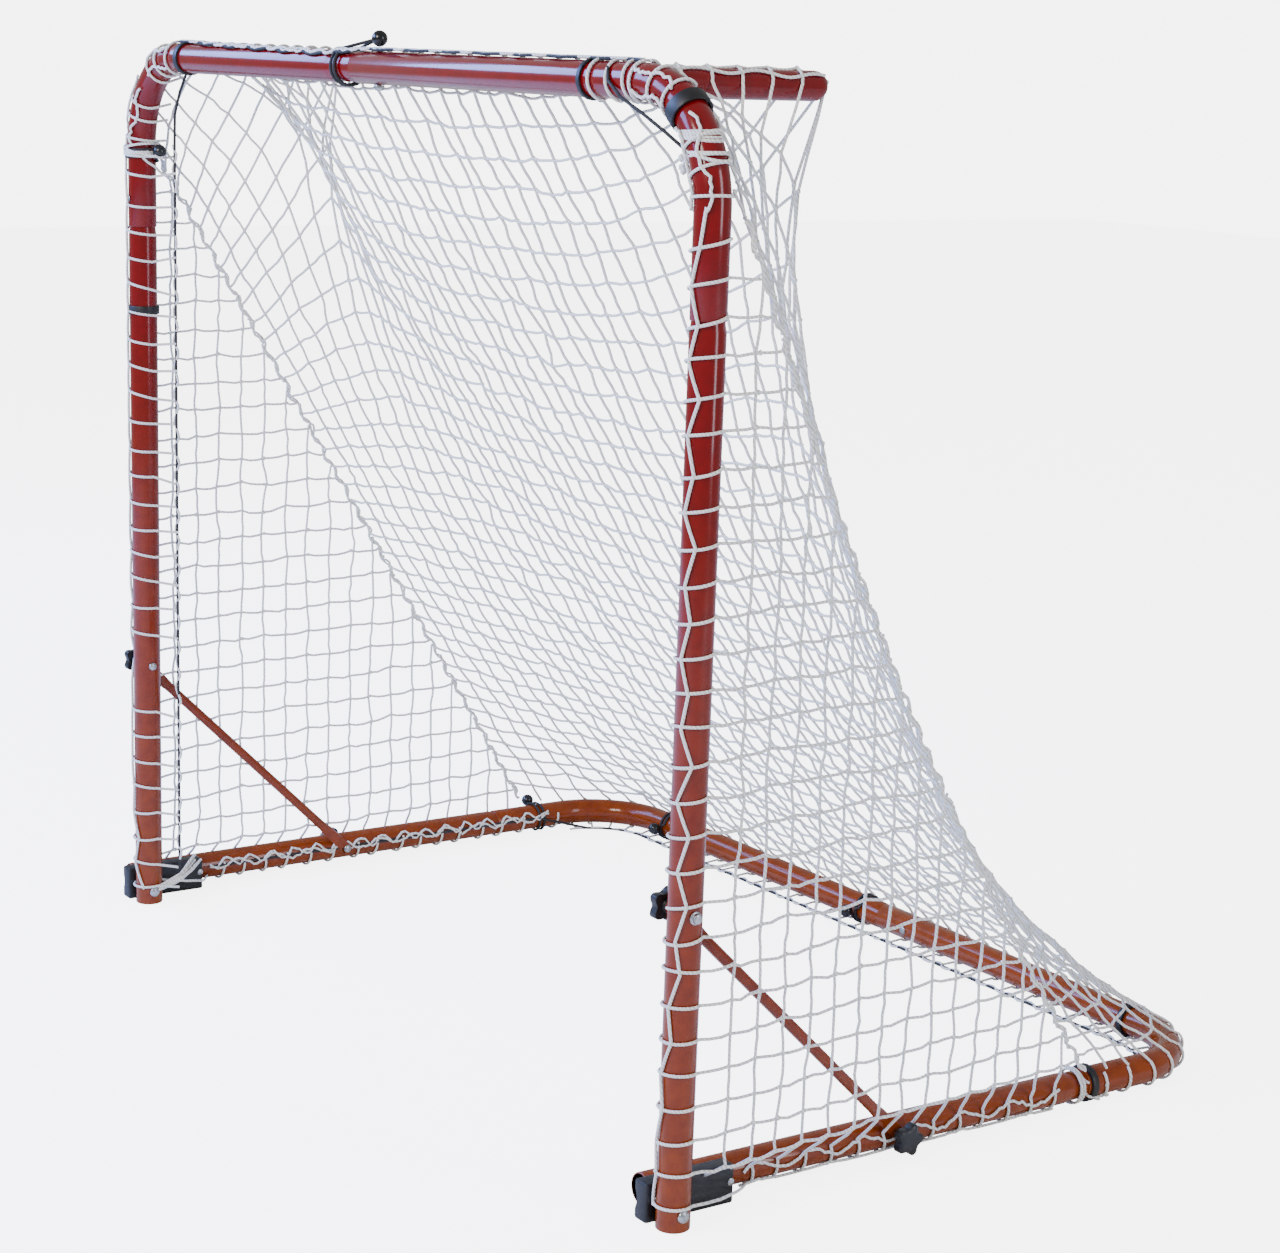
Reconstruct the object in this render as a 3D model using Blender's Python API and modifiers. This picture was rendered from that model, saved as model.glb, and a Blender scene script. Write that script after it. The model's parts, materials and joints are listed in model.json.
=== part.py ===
"""A folding steel goal with a laced net.

The frame stands on the floor with its mouth towards -Y and its net towards +Y. The front frame (two posts,
two bent corner tubes, two shelf arms) hinges on the base frame at the feet of its posts. Two braces hold it
upright, and star knobs clamp them. Metres, +Z up, origin under the middle of the goal's box.
"""
import math

import bmesh
import bpy
from mathutils import Matrix, Vector

# ---------------------------------------------------------------- driving dimensions (metres)
GOAL_WIDTH = 1.3716          # outside of one post to outside of the other, 54 in
GOAL_HEIGHT = 1.2192         # floor to the top of the crossbar, 48 in
BASE_DEPTH = 0.866           # post axis to the axis of the back bar
TUBE_D = 0.0381              # 1.5 in frame tube
TUBE_WALL = 0.0012
BEND_R = 0.120               # axis radius of the four bends
BASE_OFFSET = 0.0563         # each base tube lies this far to -X of its post
SEAM_Z = 0.972               # where the posts plug into the corner tubes
SIDE_SEAM_Y = 0.622          # where the left side tube plugs into its rear corner
SIDE_NECK_GAP = 0.024        # the right side tube stands this far out of its socket
SOCKET = 0.060               # how far a reduced tube end goes into the next tube
NECK = 0.010                 # length of the taper down to the reduced end
ARM_D = 0.0318               # shelf arm tube
ARM_X = 0.540                # arms, each side of the middle of the mouth
ARM_REACH = 0.232            # post axis to the tip of an arm
BRACE_D = 0.0135
BRACE_POST_Z = 0.355         # bolt height on the post
BRACE_BASE_Y = 0.346         # bolt distance from the hinge along the base
BRACE_BASE_Z = 0.0237
KNOB_R = 0.0200
BOLT_R = 0.0040
GAP = 0.0003                 # running gap between touching pieces
CORD_R = 0.0020              # elastic cord
BALL_R = 0.0095
NET_T = 0.0010               # thickness of the plain net panels

MOUTH_X = 0.0344             # middle of the mouth from the origin
MOUTH_Y = -0.4336            # post axes from the origin

TUBE_R = TUBE_D / 2
BASE_Z = TUBE_R + 0.0046                 # base tubes stand on the bands and cords wound round them
POST_X = (GOAL_WIDTH - TUBE_D) / 2
BAR_Z = GOAL_HEIGHT - TUBE_R
NECK_R = TUBE_R - TUBE_WALL - GAP
BLOCK_INNER = TUBE_R + GAP                # block face against the post, from the post axis towards -X
BLOCK_OUTER = BASE_OFFSET - TUBE_R + 0.005
SIDES = (("left", -1), ("right", 1))

RED = (0.52, 0.03, 0.02)
BLACK = (0.02, 0.02, 0.022)
ZINC = (0.62, 0.63, 0.65)
WHITE = (0.86, 0.86, 0.84)


# ---------------------------------------------------------------- scene and helpers
def start_scene():
    """Empty the scene and make the two collections."""
    for old in list(bpy.data.objects):
        bpy.data.objects.remove(old, do_unlink=True)
    made = []
    for name in ("soccer_goal_frame", "cutters"):
        group = bpy.data.collections.new(name)
        bpy.context.scene.collection.children.link(group)
        made.append(group)
    return made


PARTS, CUTTERS = start_scene()


def paint(obj, colour, roughness, metallic=0.0):
    """Give an object its own Principled material."""
    mat = bpy.data.materials.new(obj.name)
    mat.use_nodes = True
    shader = mat.node_tree.nodes["Principled BSDF"]
    shader.inputs["Base Color"].default_value = (*colour, 1.0)
    shader.inputs["Roughness"].default_value = roughness
    shader.inputs["Metallic"].default_value = metallic
    obj.data.materials.clear()
    obj.data.materials.append(mat)


def smooth(obj, angle=35):
    """Shade round faces smooth and keep real edges sharp."""
    obj.data.shade_smooth()
    obj.data.set_sharp_from_angle(angle=math.radians(angle))


def add_empty(name, place):
    """An empty on a joint's axis, which carries the pieces of one body."""
    empty = bpy.data.objects.new(name, None)
    PARTS.objects.link(empty)
    empty.location = place
    return empty


def hang(obj, parent):
    """Parent an object and keep it where it stands."""
    bpy.context.view_layer.update()
    obj.parent = parent
    obj.matrix_parent_inverse = parent.matrix_world.inverted()


def mesh_object(name, mesh, place=(0, 0, 0), collection=None):
    obj = bpy.data.objects.new(name, mesh)
    (collection or PARTS).objects.link(obj)
    obj.location = place
    return obj


def rod_mesh(path, radius, resolution, caps, closed=False, scale=None):
    """Sweep a circle along a polyline; scale gives each point's share of the radius."""
    curve = bpy.data.curves.new("sweep", "CURVE")
    curve.dimensions = "3D"
    curve.bevel_depth = radius
    curve.bevel_resolution = resolution
    curve.use_fill_caps = caps
    line = curve.splines.new("POLY")
    line.points.add(len(path) - 1)
    line.use_cyclic_u = closed
    for i, point in enumerate(path):
        line.points[i].co = (*point, 1.0)
        line.points[i].radius = scale[i] if scale else 1.0
    carrier = bpy.data.objects.new("sweep", curve)
    PARTS.objects.link(carrier)
    bpy.context.view_layer.update()
    mesh = bpy.data.meshes.new_from_object(carrier.evaluated_get(bpy.context.evaluated_depsgraph_get()))
    bpy.data.objects.remove(carrier)
    bm = bmesh.new()
    bm.from_mesh(mesh)
    bmesh.ops.remove_doubles(bm, verts=bm.verts, dist=1e-6)
    bm.to_mesh(mesh)
    bm.free()
    return mesh


def local(path):
    """Split a path into its first point, for the object, and the path from there, for the mesh."""
    first = Vector(path[0])
    return first, [Vector(p) - first for p in path]


def rod(name, path, radius, resolution=2, closed=False):
    """A solid round rod or cord along a path."""
    place, run = local(path)
    obj = mesh_object(name, rod_mesh(run, radius, resolution, not closed, closed), place)
    smooth(obj)
    return obj


def tube(name, path, scale=None, radius=TUBE_R, resolution=6):
    """A hollow tube along a path, open at both ends."""
    place, run = local(path)
    obj = mesh_object(name, rod_mesh(run, radius, resolution, False, scale=scale), place)
    wall = obj.modifiers.new("wall", "SOLIDIFY")
    wall.thickness = TUBE_WALL
    wall.offset = -1
    wall.use_even_offset = True
    smooth(obj)
    return obj


def turned(name, profile, place, axis="Z", steps=20):
    """A turned piece: (radius, height) points down its outer side, from the axis back to the axis."""
    bm = bmesh.new()
    points = [bm.verts.new((r, 0, z)) for r, z in profile]
    for a, b in zip(points, points[1:]):
        bm.edges.new((a, b))
    mesh = bpy.data.meshes.new(name)
    bm.to_mesh(mesh)
    bm.free()
    obj = mesh_object(name, mesh, place)
    obj.rotation_euler = {"Z": (0, 0, 0), "X": (0, math.radians(90), 0), "-X": (0, math.radians(-90), 0),
                          "Y": (math.radians(-90), 0, 0), "-Y": (math.radians(90), 0, 0),
                          "-Z": (math.radians(180), 0, 0)}[axis]
    screw = obj.modifiers.new("turn", "SCREW")
    screw.steps = steps
    screw.render_steps = steps
    screw.use_merge_vertices = True
    screw.merge_threshold = 0.00005
    screw.use_smooth_shade = True
    return obj


def cylinder(name, start, end, radius, sides=16, collection=None):
    """A capped cylinder between two points."""
    start, end = Vector(start), Vector(end)
    bm = bmesh.new()
    bmesh.ops.create_cone(bm, cap_ends=True, segments=sides, radius1=radius, radius2=radius,
                          depth=(end - start).length)
    mesh = bpy.data.meshes.new(name)
    bm.to_mesh(mesh)
    bm.free()
    obj = mesh_object(name, mesh, (start + end) / 2, collection)
    obj.rotation_mode = "QUATERNION"
    obj.rotation_quaternion = Vector((0, 0, 1)).rotation_difference(end - start)
    return obj


def box_mesh(low, high, bevel=0.0, segments=2):
    """A box between two corners, with rounded edges."""
    low, high = Vector(low), Vector(high)
    bm = bmesh.new()
    bmesh.ops.create_cube(bm, size=1.0)
    bmesh.ops.scale(bm, vec=high - low, verts=bm.verts)
    bmesh.ops.translate(bm, vec=(high + low) / 2, verts=bm.verts)
    if bevel:
        bmesh.ops.bevel(bm, geom=bm.edges[:], offset=bevel, segments=segments, affect="EDGES", profile=0.5)
    mesh = bpy.data.meshes.new("box")
    bm.to_mesh(mesh)
    bm.free()
    return mesh


def cutter(obj):
    """Turn an object into a hidden cutting tool."""
    obj.hide_render = True
    obj.display_type = "WIRE"
    return obj


def drill(obj, start, end, radius, sides=16):
    """Drill a straight hole through an object."""
    tool = cutter(cylinder(obj.name + "_drill", start, end, radius, sides, CUTTERS))
    cut(obj, tool)


def cut(obj, tool, operation="DIFFERENCE"):
    step = obj.modifiers.new(tool.name, "BOOLEAN")
    step.operation = operation
    step.solver = "EXACT"
    step.object = tool


# ---------------------------------------------------------------- places on the goal
def at(x, y, z):
    """A point given from the middle of the mouth on the floor."""
    return Vector((MOUTH_X + x, MOUTH_Y + y, z))


def arc(centre, across, along, radius, first, last, count):
    """Points on an arc between two angles in degrees."""
    points = []
    for i in range(count + 1):
        angle = math.radians(first + (last - first) * i / count)
        points.append(centre + radius * (math.cos(angle) * across + math.sin(angle) * along))
    return points


def base_x(side):
    return side * POST_X - BASE_OFFSET


def corner_path(side, end_x):
    """Axis of a corner tube, from the post's seam round the bend to end_x on the crossbar."""
    centre = at(side * (POST_X - BEND_R), 0, BAR_Z - BEND_R)
    bend = arc(centre, Vector((side, 0, 0)), Vector((0, 0, 1)), BEND_R, 0, 90, 8)
    return [at(side * POST_X, 0, SEAM_Z + GAP)] + bend + [at(end_x, 0, BAR_Z)]


def rear_path(side, start_y, end_x):
    """Axis of a rear corner tube, from the side tube's seam round the bend to end_x on the back bar."""
    centre = at(base_x(side) - side * BEND_R, BASE_DEPTH - BEND_R, BASE_Z)
    bend = arc(centre, Vector((side, 0, 0)), Vector((0, 1, 0)), BEND_R, 0, 90, 8)
    return [at(base_x(side), start_y, BASE_Z)] + bend + [at(end_x, BASE_DEPTH, BASE_Z)]


def reduced_end(path, full_to, reach):
    """Add a taper and a reduced end to a path that runs on in a straight line, and give its radius scale."""
    direction = (path[-1] - path[-2]).normalized()
    small = NECK_R / TUBE_R
    points = path[:-1] + [full_to, full_to + direction * NECK, full_to + direction * (NECK + reach)]
    return points, [1.0] * len(path) + [small, small]


# ---------------------------------------------------------------- frame tubes
def make_posts(front):
    """Each post is a straight tube whose reduced top plugs into the corner tube."""
    for name, side in SIDES:
        foot = at(side * POST_X, 0, 0)
        top = at(side * POST_X, 0, SEAM_Z - NECK)
        path, scale = reduced_end([foot, top], top, SOCKET)
        post = tube(name + "_post", path, scale)
        hinge = at(side * POST_X, 0, TUBE_R)
        brace = at(side * POST_X, 0, BRACE_POST_Z)
        for centre in (hinge, brace):
            drill(post, centre - Vector((0.04, 0, 0)), centre + Vector((0.04, 0, 0)), BOLT_R + GAP)
        paint(post, RED, 0.25)
        hang(post, front)
        plug = turned(name + "_foot_plug", [(0, 0.012), (0.0135, 0.012), (0.0150, 0.0105), (0.0165, 0.0025),
                                            (0.01755, 0.002), (0.01755, 0), (0, 0)],
                      at(side * POST_X, 0, 0), steps=16)
        paint(plug, BLACK, 0.6)
        hang(plug, front)


CROSS_SOCKET_X = -0.050      # left end of the right corner tube, which takes the left tube's reduced end
CROSS_NECK_X = -0.110        # where the left corner tube starts to taper
CROSS_BOLT_X = -0.006
BACK_SOCKET_X = -0.030
BACK_BOLT_X = 0.031


def make_corner_tubes(front):
    """The left corner tube's reduced end runs into the right one, and a bolt locks the two."""
    neck = at(CROSS_NECK_X, 0, BAR_Z)
    path, scale = reduced_end(corner_path(-1, CROSS_NECK_X), neck, 0.140)
    left = tube("left_corner_tube", path, scale)
    right = tube("right_corner_tube", corner_path(1, CROSS_SOCKET_X))
    for obj in (left, right):
        drill(obj, at(CROSS_BOLT_X, 0, BAR_Z - 0.04), at(CROSS_BOLT_X, 0, BAR_Z + 0.04), 0.003 + GAP)
        paint(obj, RED, 0.22)
        hang(obj, front)


def make_base_tubes(base):
    """Side tubes plug into the rear corner tubes; the two rear tubes join on the back bar."""
    for name, side in SIDES:
        seam = SIDE_SEAM_Y if side < 0 else SIDE_SEAM_Y + SIDE_NECK_GAP
        full_end = SIDE_SEAM_Y - NECK
        start = at(base_x(side), -0.004, BASE_Z)
        end = at(base_x(side), full_end, BASE_Z)
        path, scale = reduced_end([start, end], end, SOCKET)
        side_tube = tube(name + "_base_tube", path, scale)
        bolt = at(base_x(side), BRACE_BASE_Y, BRACE_BASE_Z)
        drill(side_tube, bolt - Vector((0.04, 0, 0)), bolt + Vector((0.04, 0, 0)), BOLT_R + GAP)
        rivet = at(base_x(side), 0.091, 0.026)
        drill(side_tube, rivet, rivet + Vector((0.04, 0, 0)), 0.0022 + GAP, 10)
        paint(side_tube, RED, 0.25)
        hang(side_tube, base)
        if side < 0:
            path, scale = reduced_end(rear_path(side, seam + GAP, BACK_SOCKET_X - NECK - GAP),
                                      at(BACK_SOCKET_X - NECK - GAP, BASE_DEPTH, BASE_Z), 0.105)
            rear = tube("left_rear_tube", path, scale)
        else:
            rear = tube("right_rear_tube", rear_path(side, seam + GAP, BACK_SOCKET_X))
        drill(rear, at(BACK_BOLT_X, BASE_DEPTH - 0.04, BASE_Z), at(BACK_BOLT_X, BASE_DEPTH + 0.04, BASE_Z),
              0.003 + GAP)
        paint(rear, RED, 0.25)
        hang(rear, base)
        plug = turned(name + "_base_plug", [(0, 0.0), (0.0135, 0.0), (0.0165, -0.008), (0.01755, -0.009),
                                            (0.01755, -0.0118), (0, -0.0118)],
                      at(base_x(side), -0.004, BASE_Z), axis="-Y", steps=16)
        plug.location.y += 0.0118
        plug.rotation_euler.x = math.radians(-90)
        paint(plug, BLACK, 0.6)
        hang(plug, base)


def make_arms(front):
    """Short arms off the back of the crossbar hold the net's shelf out; each has a domed end."""
    for name, side in SIDES:
        tip = at(side * ARM_X, ARM_REACH, BAR_Z)
        r = ARM_D / 2
        dome = [(r * math.cos(math.radians(a)), r * math.sin(math.radians(a))) for a in (90, 70, 50, 30, 10, 0)]
        inner = r - TUBE_WALL
        hollow = [(inner * math.cos(math.radians(a)), inner * math.sin(math.radians(a)))
                  for a in (0, 20, 45, 70, 90)]
        length = ARM_REACH - r
        profile = [(0.0, r)] + dome[1:] + [(r, -length), (inner, -length)] + hollow[:-1] + [(0.0, inner)]
        arm = turned(name + "_shelf_arm", profile, tip - Vector((0, r, 0)), axis="Y", steps=16)
        bar = cutter(cylinder(name + "_cope", at(side * ARM_X - 0.04, 0, BAR_Z), at(side * ARM_X + 0.04, 0, BAR_Z),
                              TUBE_R + 2 * GAP, 32, CUTTERS))
        cut(arm, bar)
        paint(arm, RED, 0.25)
        hang(arm, front)


# ---------------------------------------------------------------- hinges
def make_pivot_blocks(base):
    """A moulded block between each post and its base tube: it cradles the tube and takes the hinge bolt."""
    for name, side in SIDES:
        x = side * POST_X
        low = at(x - BLOCK_OUTER, -0.0225, 0.0)
        high = at(x - BLOCK_INNER, 0.0955, 0.0465)
        centre = at(x, 0, TUBE_R)
        block = mesh_object(name + "_pivot_block", box_mesh(low - centre, high - centre, 0.003, 2), centre)
        cradle = cutter(cylinder(name + "_cradle", at(base_x(side), -0.03, BASE_Z), at(base_x(side), 0.11, BASE_Z),
                                 TUBE_R + GAP, 24, CUTTERS))
        cut(block, cradle)
        drill(block, centre - Vector((0.06, 0, 0)), centre, BOLT_R + GAP)
        pocket_end = BASE_OFFSET - TUBE_R - 0.0066
        cut(block, cutter(cylinder(name + "_nut_pocket", centre - Vector((0.06, 0, 0)),
                                   centre - Vector((pocket_end, 0, 0)), 0.0078, 6, CUTTERS)))
        rivet = at(x - BASE_OFFSET, 0.091, 0.026)
        drill(block, rivet, rivet + Vector((0.06, 0, 0)), 0.0022 + GAP, 10)
        paint(block, BLACK, 0.45)
        hang(block, base)
        nut_at = centre - Vector((pocket_end + GAP, 0, 0))
        nut = cylinder(name + "_hinge_nut", nut_at, nut_at - Vector((0.0060, 0, 0)), 0.0074, 6)
        drill(nut, centre - Vector((0.06, 0, 0)), centre, BOLT_R + GAP)
        paint(nut, ZINC, 0.3, 1.0)
        hang(nut, base)
        head = 0.0042
        reach = BASE_OFFSET - TUBE_R - 0.0006 + TUBE_R + GAP
        bolt = turned(name + "_hinge_bolt", dome_bolt(0.0078, head, reach), centre + Vector((TUBE_R + GAP, 0, 0)),
                      axis="X", steps=16)
        paint(bolt, ZINC, 0.3, 1.0)
        hang(bolt, base)
        start = at(base_x(side) + TUBE_R - 0.004, 0.091, 0.026)
        end = at(side * POST_X - BLOCK_INNER + GAP, 0.091, 0.026)
        rivet = turned(name + "_block_rivet", rivet_profile(0.0022, 0.0045, 0.0012, (end - start).length), start,
                       "X", 12)
        paint(rivet, ZINC, 0.35, 1.0)
        hang(rivet, base)


def dome_bolt(head_r, head_h, length, shank=BOLT_R):
    """Profile of a bolt with a domed head: the head's seat is at height 0, its shank runs down."""
    dome = [(head_r * math.sin(math.radians(a)), head_h * math.cos(math.radians(a))) for a in (0, 30, 60, 90)]
    return dome + [(shank, 0.0), (shank, -length), (0.0, -length)]


def rivet_profile(stem_r, head_r, head_h, length):
    """Profile of a rivet: its stem starts at height 0 and its head sits on top of the length."""
    return [(0.0, length + head_h), (head_r * 0.6, length + head_h * 0.8), (head_r, length + 0.0002),
            (head_r, length), (stem_r, length), (stem_r, 0.0), (0.0, 0.0)]


# ---------------------------------------------------------------- braces and their bolts
PLATE_T = 0.0040
TOP_PLATE_X = -(TUBE_R + GAP + PLATE_T / 2)               # brace plate against the post
LOW_PLATE_X = -(BASE_OFFSET - TUBE_R - GAP - PLATE_T / 2)  # brace plate against the base tube
FLAT_RUN = 0.045
EASE_RUN = 0.018


def make_brace(name, side, carrier):
    """A thin tube with flattened ends: a round eye at the post and an open hook at the base."""
    top = at(side * POST_X + TOP_PLATE_X, 0, BRACE_POST_Z)
    low = at(side * POST_X + LOW_PLATE_X, BRACE_BASE_Y, BRACE_BASE_Z)
    along = (low - top).normalized()
    length = (low - top).length
    overrun = 0.0085
    stations = [-overrun, -overrun * 0.55, FLAT_RUN, FLAT_RUN + EASE_RUN, length - FLAT_RUN - EASE_RUN,
                length - FLAT_RUN, length + overrun * 0.55, length + overrun]
    run = [top + along * s for s in stations]
    brace = mesh_object(name, rod_mesh([p - top for p in run], BRACE_D / 2, 4, True), top)
    across = Vector((0, along.z, -along.y)).normalized()
    for vertex in brace.data.vertices:
        s = vertex.co.dot(along)
        near_end = min(s, length - s)
        flat = min(max((FLAT_RUN + EASE_RUN - near_end) / EASE_RUN, 0.0), 1.0)
        centre = along * s
        off = vertex.co - centre
        wide = off.dot(across)
        thick = off.x
        tip = 0.62 if near_end < -overrun * 0.8 else 1.0
        thin = thick * (1 - flat) + flat * math.copysign(PLATE_T / 2, thick) * (abs(thick) > 1e-6)
        vertex.co = centre + across * wide * (1 + 0.26 * flat) * tip + Vector((thin, 0, 0))
    brace.data.update()
    drill(brace, top - Vector((0.02, 0, 0)), top + Vector((0.02, 0, 0)), BOLT_R + GAP)
    mouth = Vector((0, -0.940, -0.341))
    slot_half = BOLT_R + 0.0006
    slot = box_mesh((-0.02, -slot_half, 0.0), (0.02, slot_half, 0.030))
    hook = cutter(mesh_object(name + "_hook", slot, low, CUTTERS))
    hook.rotation_mode = "QUATERNION"
    hook.rotation_quaternion = Vector((0, 0, 1)).rotation_difference(mouth)
    cut(brace, hook)
    drill(brace, low - Vector((0.02, 0, 0)), low + Vector((0.02, 0, 0)), slot_half)
    smooth(brace)
    paint(brace, RED, 0.25)
    hang(brace, carrier)


def knob_mesh(outward):
    """A star knob with five lobes, a hub towards the joint and a blind hole for the bolt."""
    bm = bmesh.new()
    count = 40
    ring = []
    for i in range(count):
        angle = 2 * math.pi * i / count
        radius = KNOB_R * (0.86 + 0.14 * math.cos(5 * angle))
        ring.append(bm.verts.new((0, radius * math.cos(angle), radius * math.sin(angle))))
    face = bm.faces.new(ring)
    grown = bmesh.ops.extrude_face_region(bm, geom=[face])
    top = [v for v in grown["geom"] if isinstance(v, bmesh.types.BMVert)]
    bmesh.ops.translate(bm, vec=(outward * 0.0110, 0, 0), verts=top)
    faces = [f for f in bm.faces if all(v in top for v in f.verts)]
    inner = bmesh.ops.inset_region(bm, faces=faces, thickness=0.0035, depth=0.0)
    cap = [f for f in faces if f.is_valid]
    raised = list({v for f in cap for v in f.verts})
    bmesh.ops.translate(bm, vec=(outward * 0.0022, 0, 0), verts=raised)
    bmesh.ops.recalc_face_normals(bm, faces=bm.faces)
    mesh = bpy.data.meshes.new("knob")
    bm.to_mesh(mesh)
    bm.free()
    return mesh


def make_knob(name, seat, outward, bolt_from, carrier):
    """A knob whose hub sits at seat and whose lobes stand away from the joint; bored for its bolt."""
    knob = mesh_object(name, knob_mesh(outward), seat + Vector((outward * 0.0055, 0, 0)))
    hub = cylinder(name + "_hub", seat, seat + Vector((outward * 0.0080, 0, 0)), 0.0082, 16, CUTTERS)
    cut(knob, cutter(hub), "UNION")
    drill(knob, bolt_from, seat + Vector((outward * 0.0125, 0, 0)), BOLT_R + GAP)
    smooth(knob, 40)
    paint(knob, BLACK, 0.5)
    hang(knob, carrier)


def make_brace_fasteners(front, base, axles):
    """Bolts run along X through post and brace, or base tube and brace, each with a knob on its end."""
    for name, side in SIDES:
        x = side * POST_X
        seat_x = -(TUBE_R + 2 * GAP + PLATE_T + 0.0002)
        head = Vector((TUBE_R + GAP, 0, 0))
        centre = at(x, 0, BRACE_POST_Z)
        length = TUBE_R + GAP - seat_x + 0.0110
        if side < 0:
            bolt = turned("left_post_bolt", dome_bolt(0.0060, 0.0032, length), centre + head, "X", 16)
        else:
            bolt = turned("right_post_bolt", flange_bolt(0.0077, 0.0056, length), centre + head, "X", 12)
        paint(bolt, ZINC, 0.3, 1.0)
        hang(bolt, front)
        make_knob(name + "_post_knob", centre + Vector((seat_x, 0, 0)), -1, centre, axles[name + "_post_knob"])

        centre = at(base_x(side), BRACE_BASE_Y, BRACE_BASE_Z)
        plate_far = BASE_OFFSET + LOW_PLATE_X + PLATE_T / 2 + GAP
        if side > 0:
            seat = centre + Vector((plate_far, 0, 0))
            length = TUBE_R + GAP + plate_far + 0.0110
            bolt = turned("right_base_bolt", dome_bolt(0.0065, 0.0035, length),
                          centre - Vector((TUBE_R + GAP, 0, 0)), "-X", 16)
            make_knob("right_base_knob", seat, 1, centre, axles["right_base_knob"])
        else:
            seat = centre - Vector((TUBE_R + GAP, 0, 0))
            length = plate_far + TUBE_R + GAP + 0.0110
            bolt = turned("left_base_bolt", dome_bolt(0.0065, 0.0035, length),
                          centre + Vector((plate_far, 0, 0)), "X", 16)
            make_knob("left_base_knob", seat, -1, centre, axles["left_base_knob"])
        paint(bolt, ZINC, 0.3, 1.0)
        hang(bolt, base)


def flange_bolt(flange_r, hex_r, length):
    """Profile of a flanged bolt head, seat at height 0."""
    return [(0.0, 0.0062), (hex_r * 0.8, 0.0062), (hex_r, 0.0054), (hex_r, 0.0018), (flange_r, 0.0012),
            (flange_r, 0.0), (BOLT_R, 0.0), (BOLT_R, -length), (0.0, -length)]


# ---------------------------------------------------------------- bolts and rivets of the tube joints
def make_joint_fasteners(front, base):
    """A bolt locks the crossbar, another the back bar, and rivets lock the side and post joints."""
    head_at = at(CROSS_BOLT_X, 0, BAR_Z + TUBE_R + GAP)
    bolt = turned("crossbar_bolt", dome_bolt(0.0058, 0.0024, TUBE_D + 2 * GAP + 0.0046, 0.003), head_at, steps=14)
    nut = turned("crossbar_nut", [(0.0038, 0.0), (0.0064, 0.0), (0.0064, -0.0035), (0.0048, -0.0062),
                                  (0.0, -0.0068), (0.0, -0.0055), (0.0038, -0.0055), (0.0038, 0.0)],
                 at(CROSS_BOLT_X, 0, BAR_Z - TUBE_R - GAP), steps=6)
    for obj in (bolt, nut):
        paint(obj, ZINC, 0.3, 1.0)
        hang(obj, front)
    head_at = at(BACK_BOLT_X, BASE_DEPTH - TUBE_R - GAP, BASE_Z)
    bolt = turned("back_bar_bolt", dome_bolt(0.0062, 0.0030, TUBE_D + 2 * GAP + 0.0046, 0.003), head_at, "-Y", 14)
    nut = turned("back_bar_nut", [(0.0038, 0.0), (0.0064, 0.0), (0.0064, -0.0035), (0.0048, -0.0062),
                                  (0.0, -0.0068), (0.0, -0.0055), (0.0038, -0.0055), (0.0038, 0.0)],
                 at(BACK_BOLT_X, BASE_DEPTH + TUBE_R + GAP, BASE_Z), "-Y", 6)
    for obj in (bolt, nut):
        paint(obj, ZINC, 0.3, 1.0)
        hang(obj, base)
    rivet = turned("left_post_rivet", rivet_profile(0.0025, 0.0036, 0.0008, 0.0010),
                   at(-POST_X, -TUBE_R - GAP, SEAM_Z + 0.038), "-Y", 12)
    paint(rivet, ZINC, 0.35, 1.0)
    hang(rivet, front)
    for name, side in SIDES:
        rivet = turned(name + "_base_rivet", rivet_profile(0.0025, 0.0036, 0.0008, 0.0010),
                       at(base_x(side) + TUBE_R + GAP, SIDE_SEAM_Y + 0.052, BASE_Z), "X", 12)
        paint(rivet, ZINC, 0.35, 1.0)
        hang(rivet, base)


# ---------------------------------------------------------------- clips, ball ties and lacing
def make_clip(name, centre, axis, width, carrier, clasp=None, angle=0.0, ease=0.0, thick=0.0026):
    """A flexible band round a tube, with a clasp block where its ends lock."""
    inner = TUBE_R + GAP + ease
    outer = inner + thick
    half = width / 2
    band = turned(name, [(outer, half), (outer, -half), (inner, -half), (inner, half), (outer, half)], centre,
                  steps=20)
    band.rotation_mode = "QUATERNION"
    turn = Vector((0, 0, 1)).rotation_difference(Vector(axis)) @ Matrix.Rotation(angle, 4, "Z").to_quaternion()
    band.rotation_quaternion = turn
    if clasp:
        length, tall, broad = clasp
        block = mesh_object(name + "_clasp", box_mesh((outer - 0.0012, -length / 2, -broad / 2),
                                                      (outer + tall, length / 2, broad / 2), 0.0008, 1),
                            centre, CUTTERS)
        block.rotation_mode = "QUATERNION"
        block.rotation_quaternion = turn
        cut(band, cutter(block), "UNION")
    paint(band, BLACK, 0.5)
    hang(band, carrier)


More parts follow.
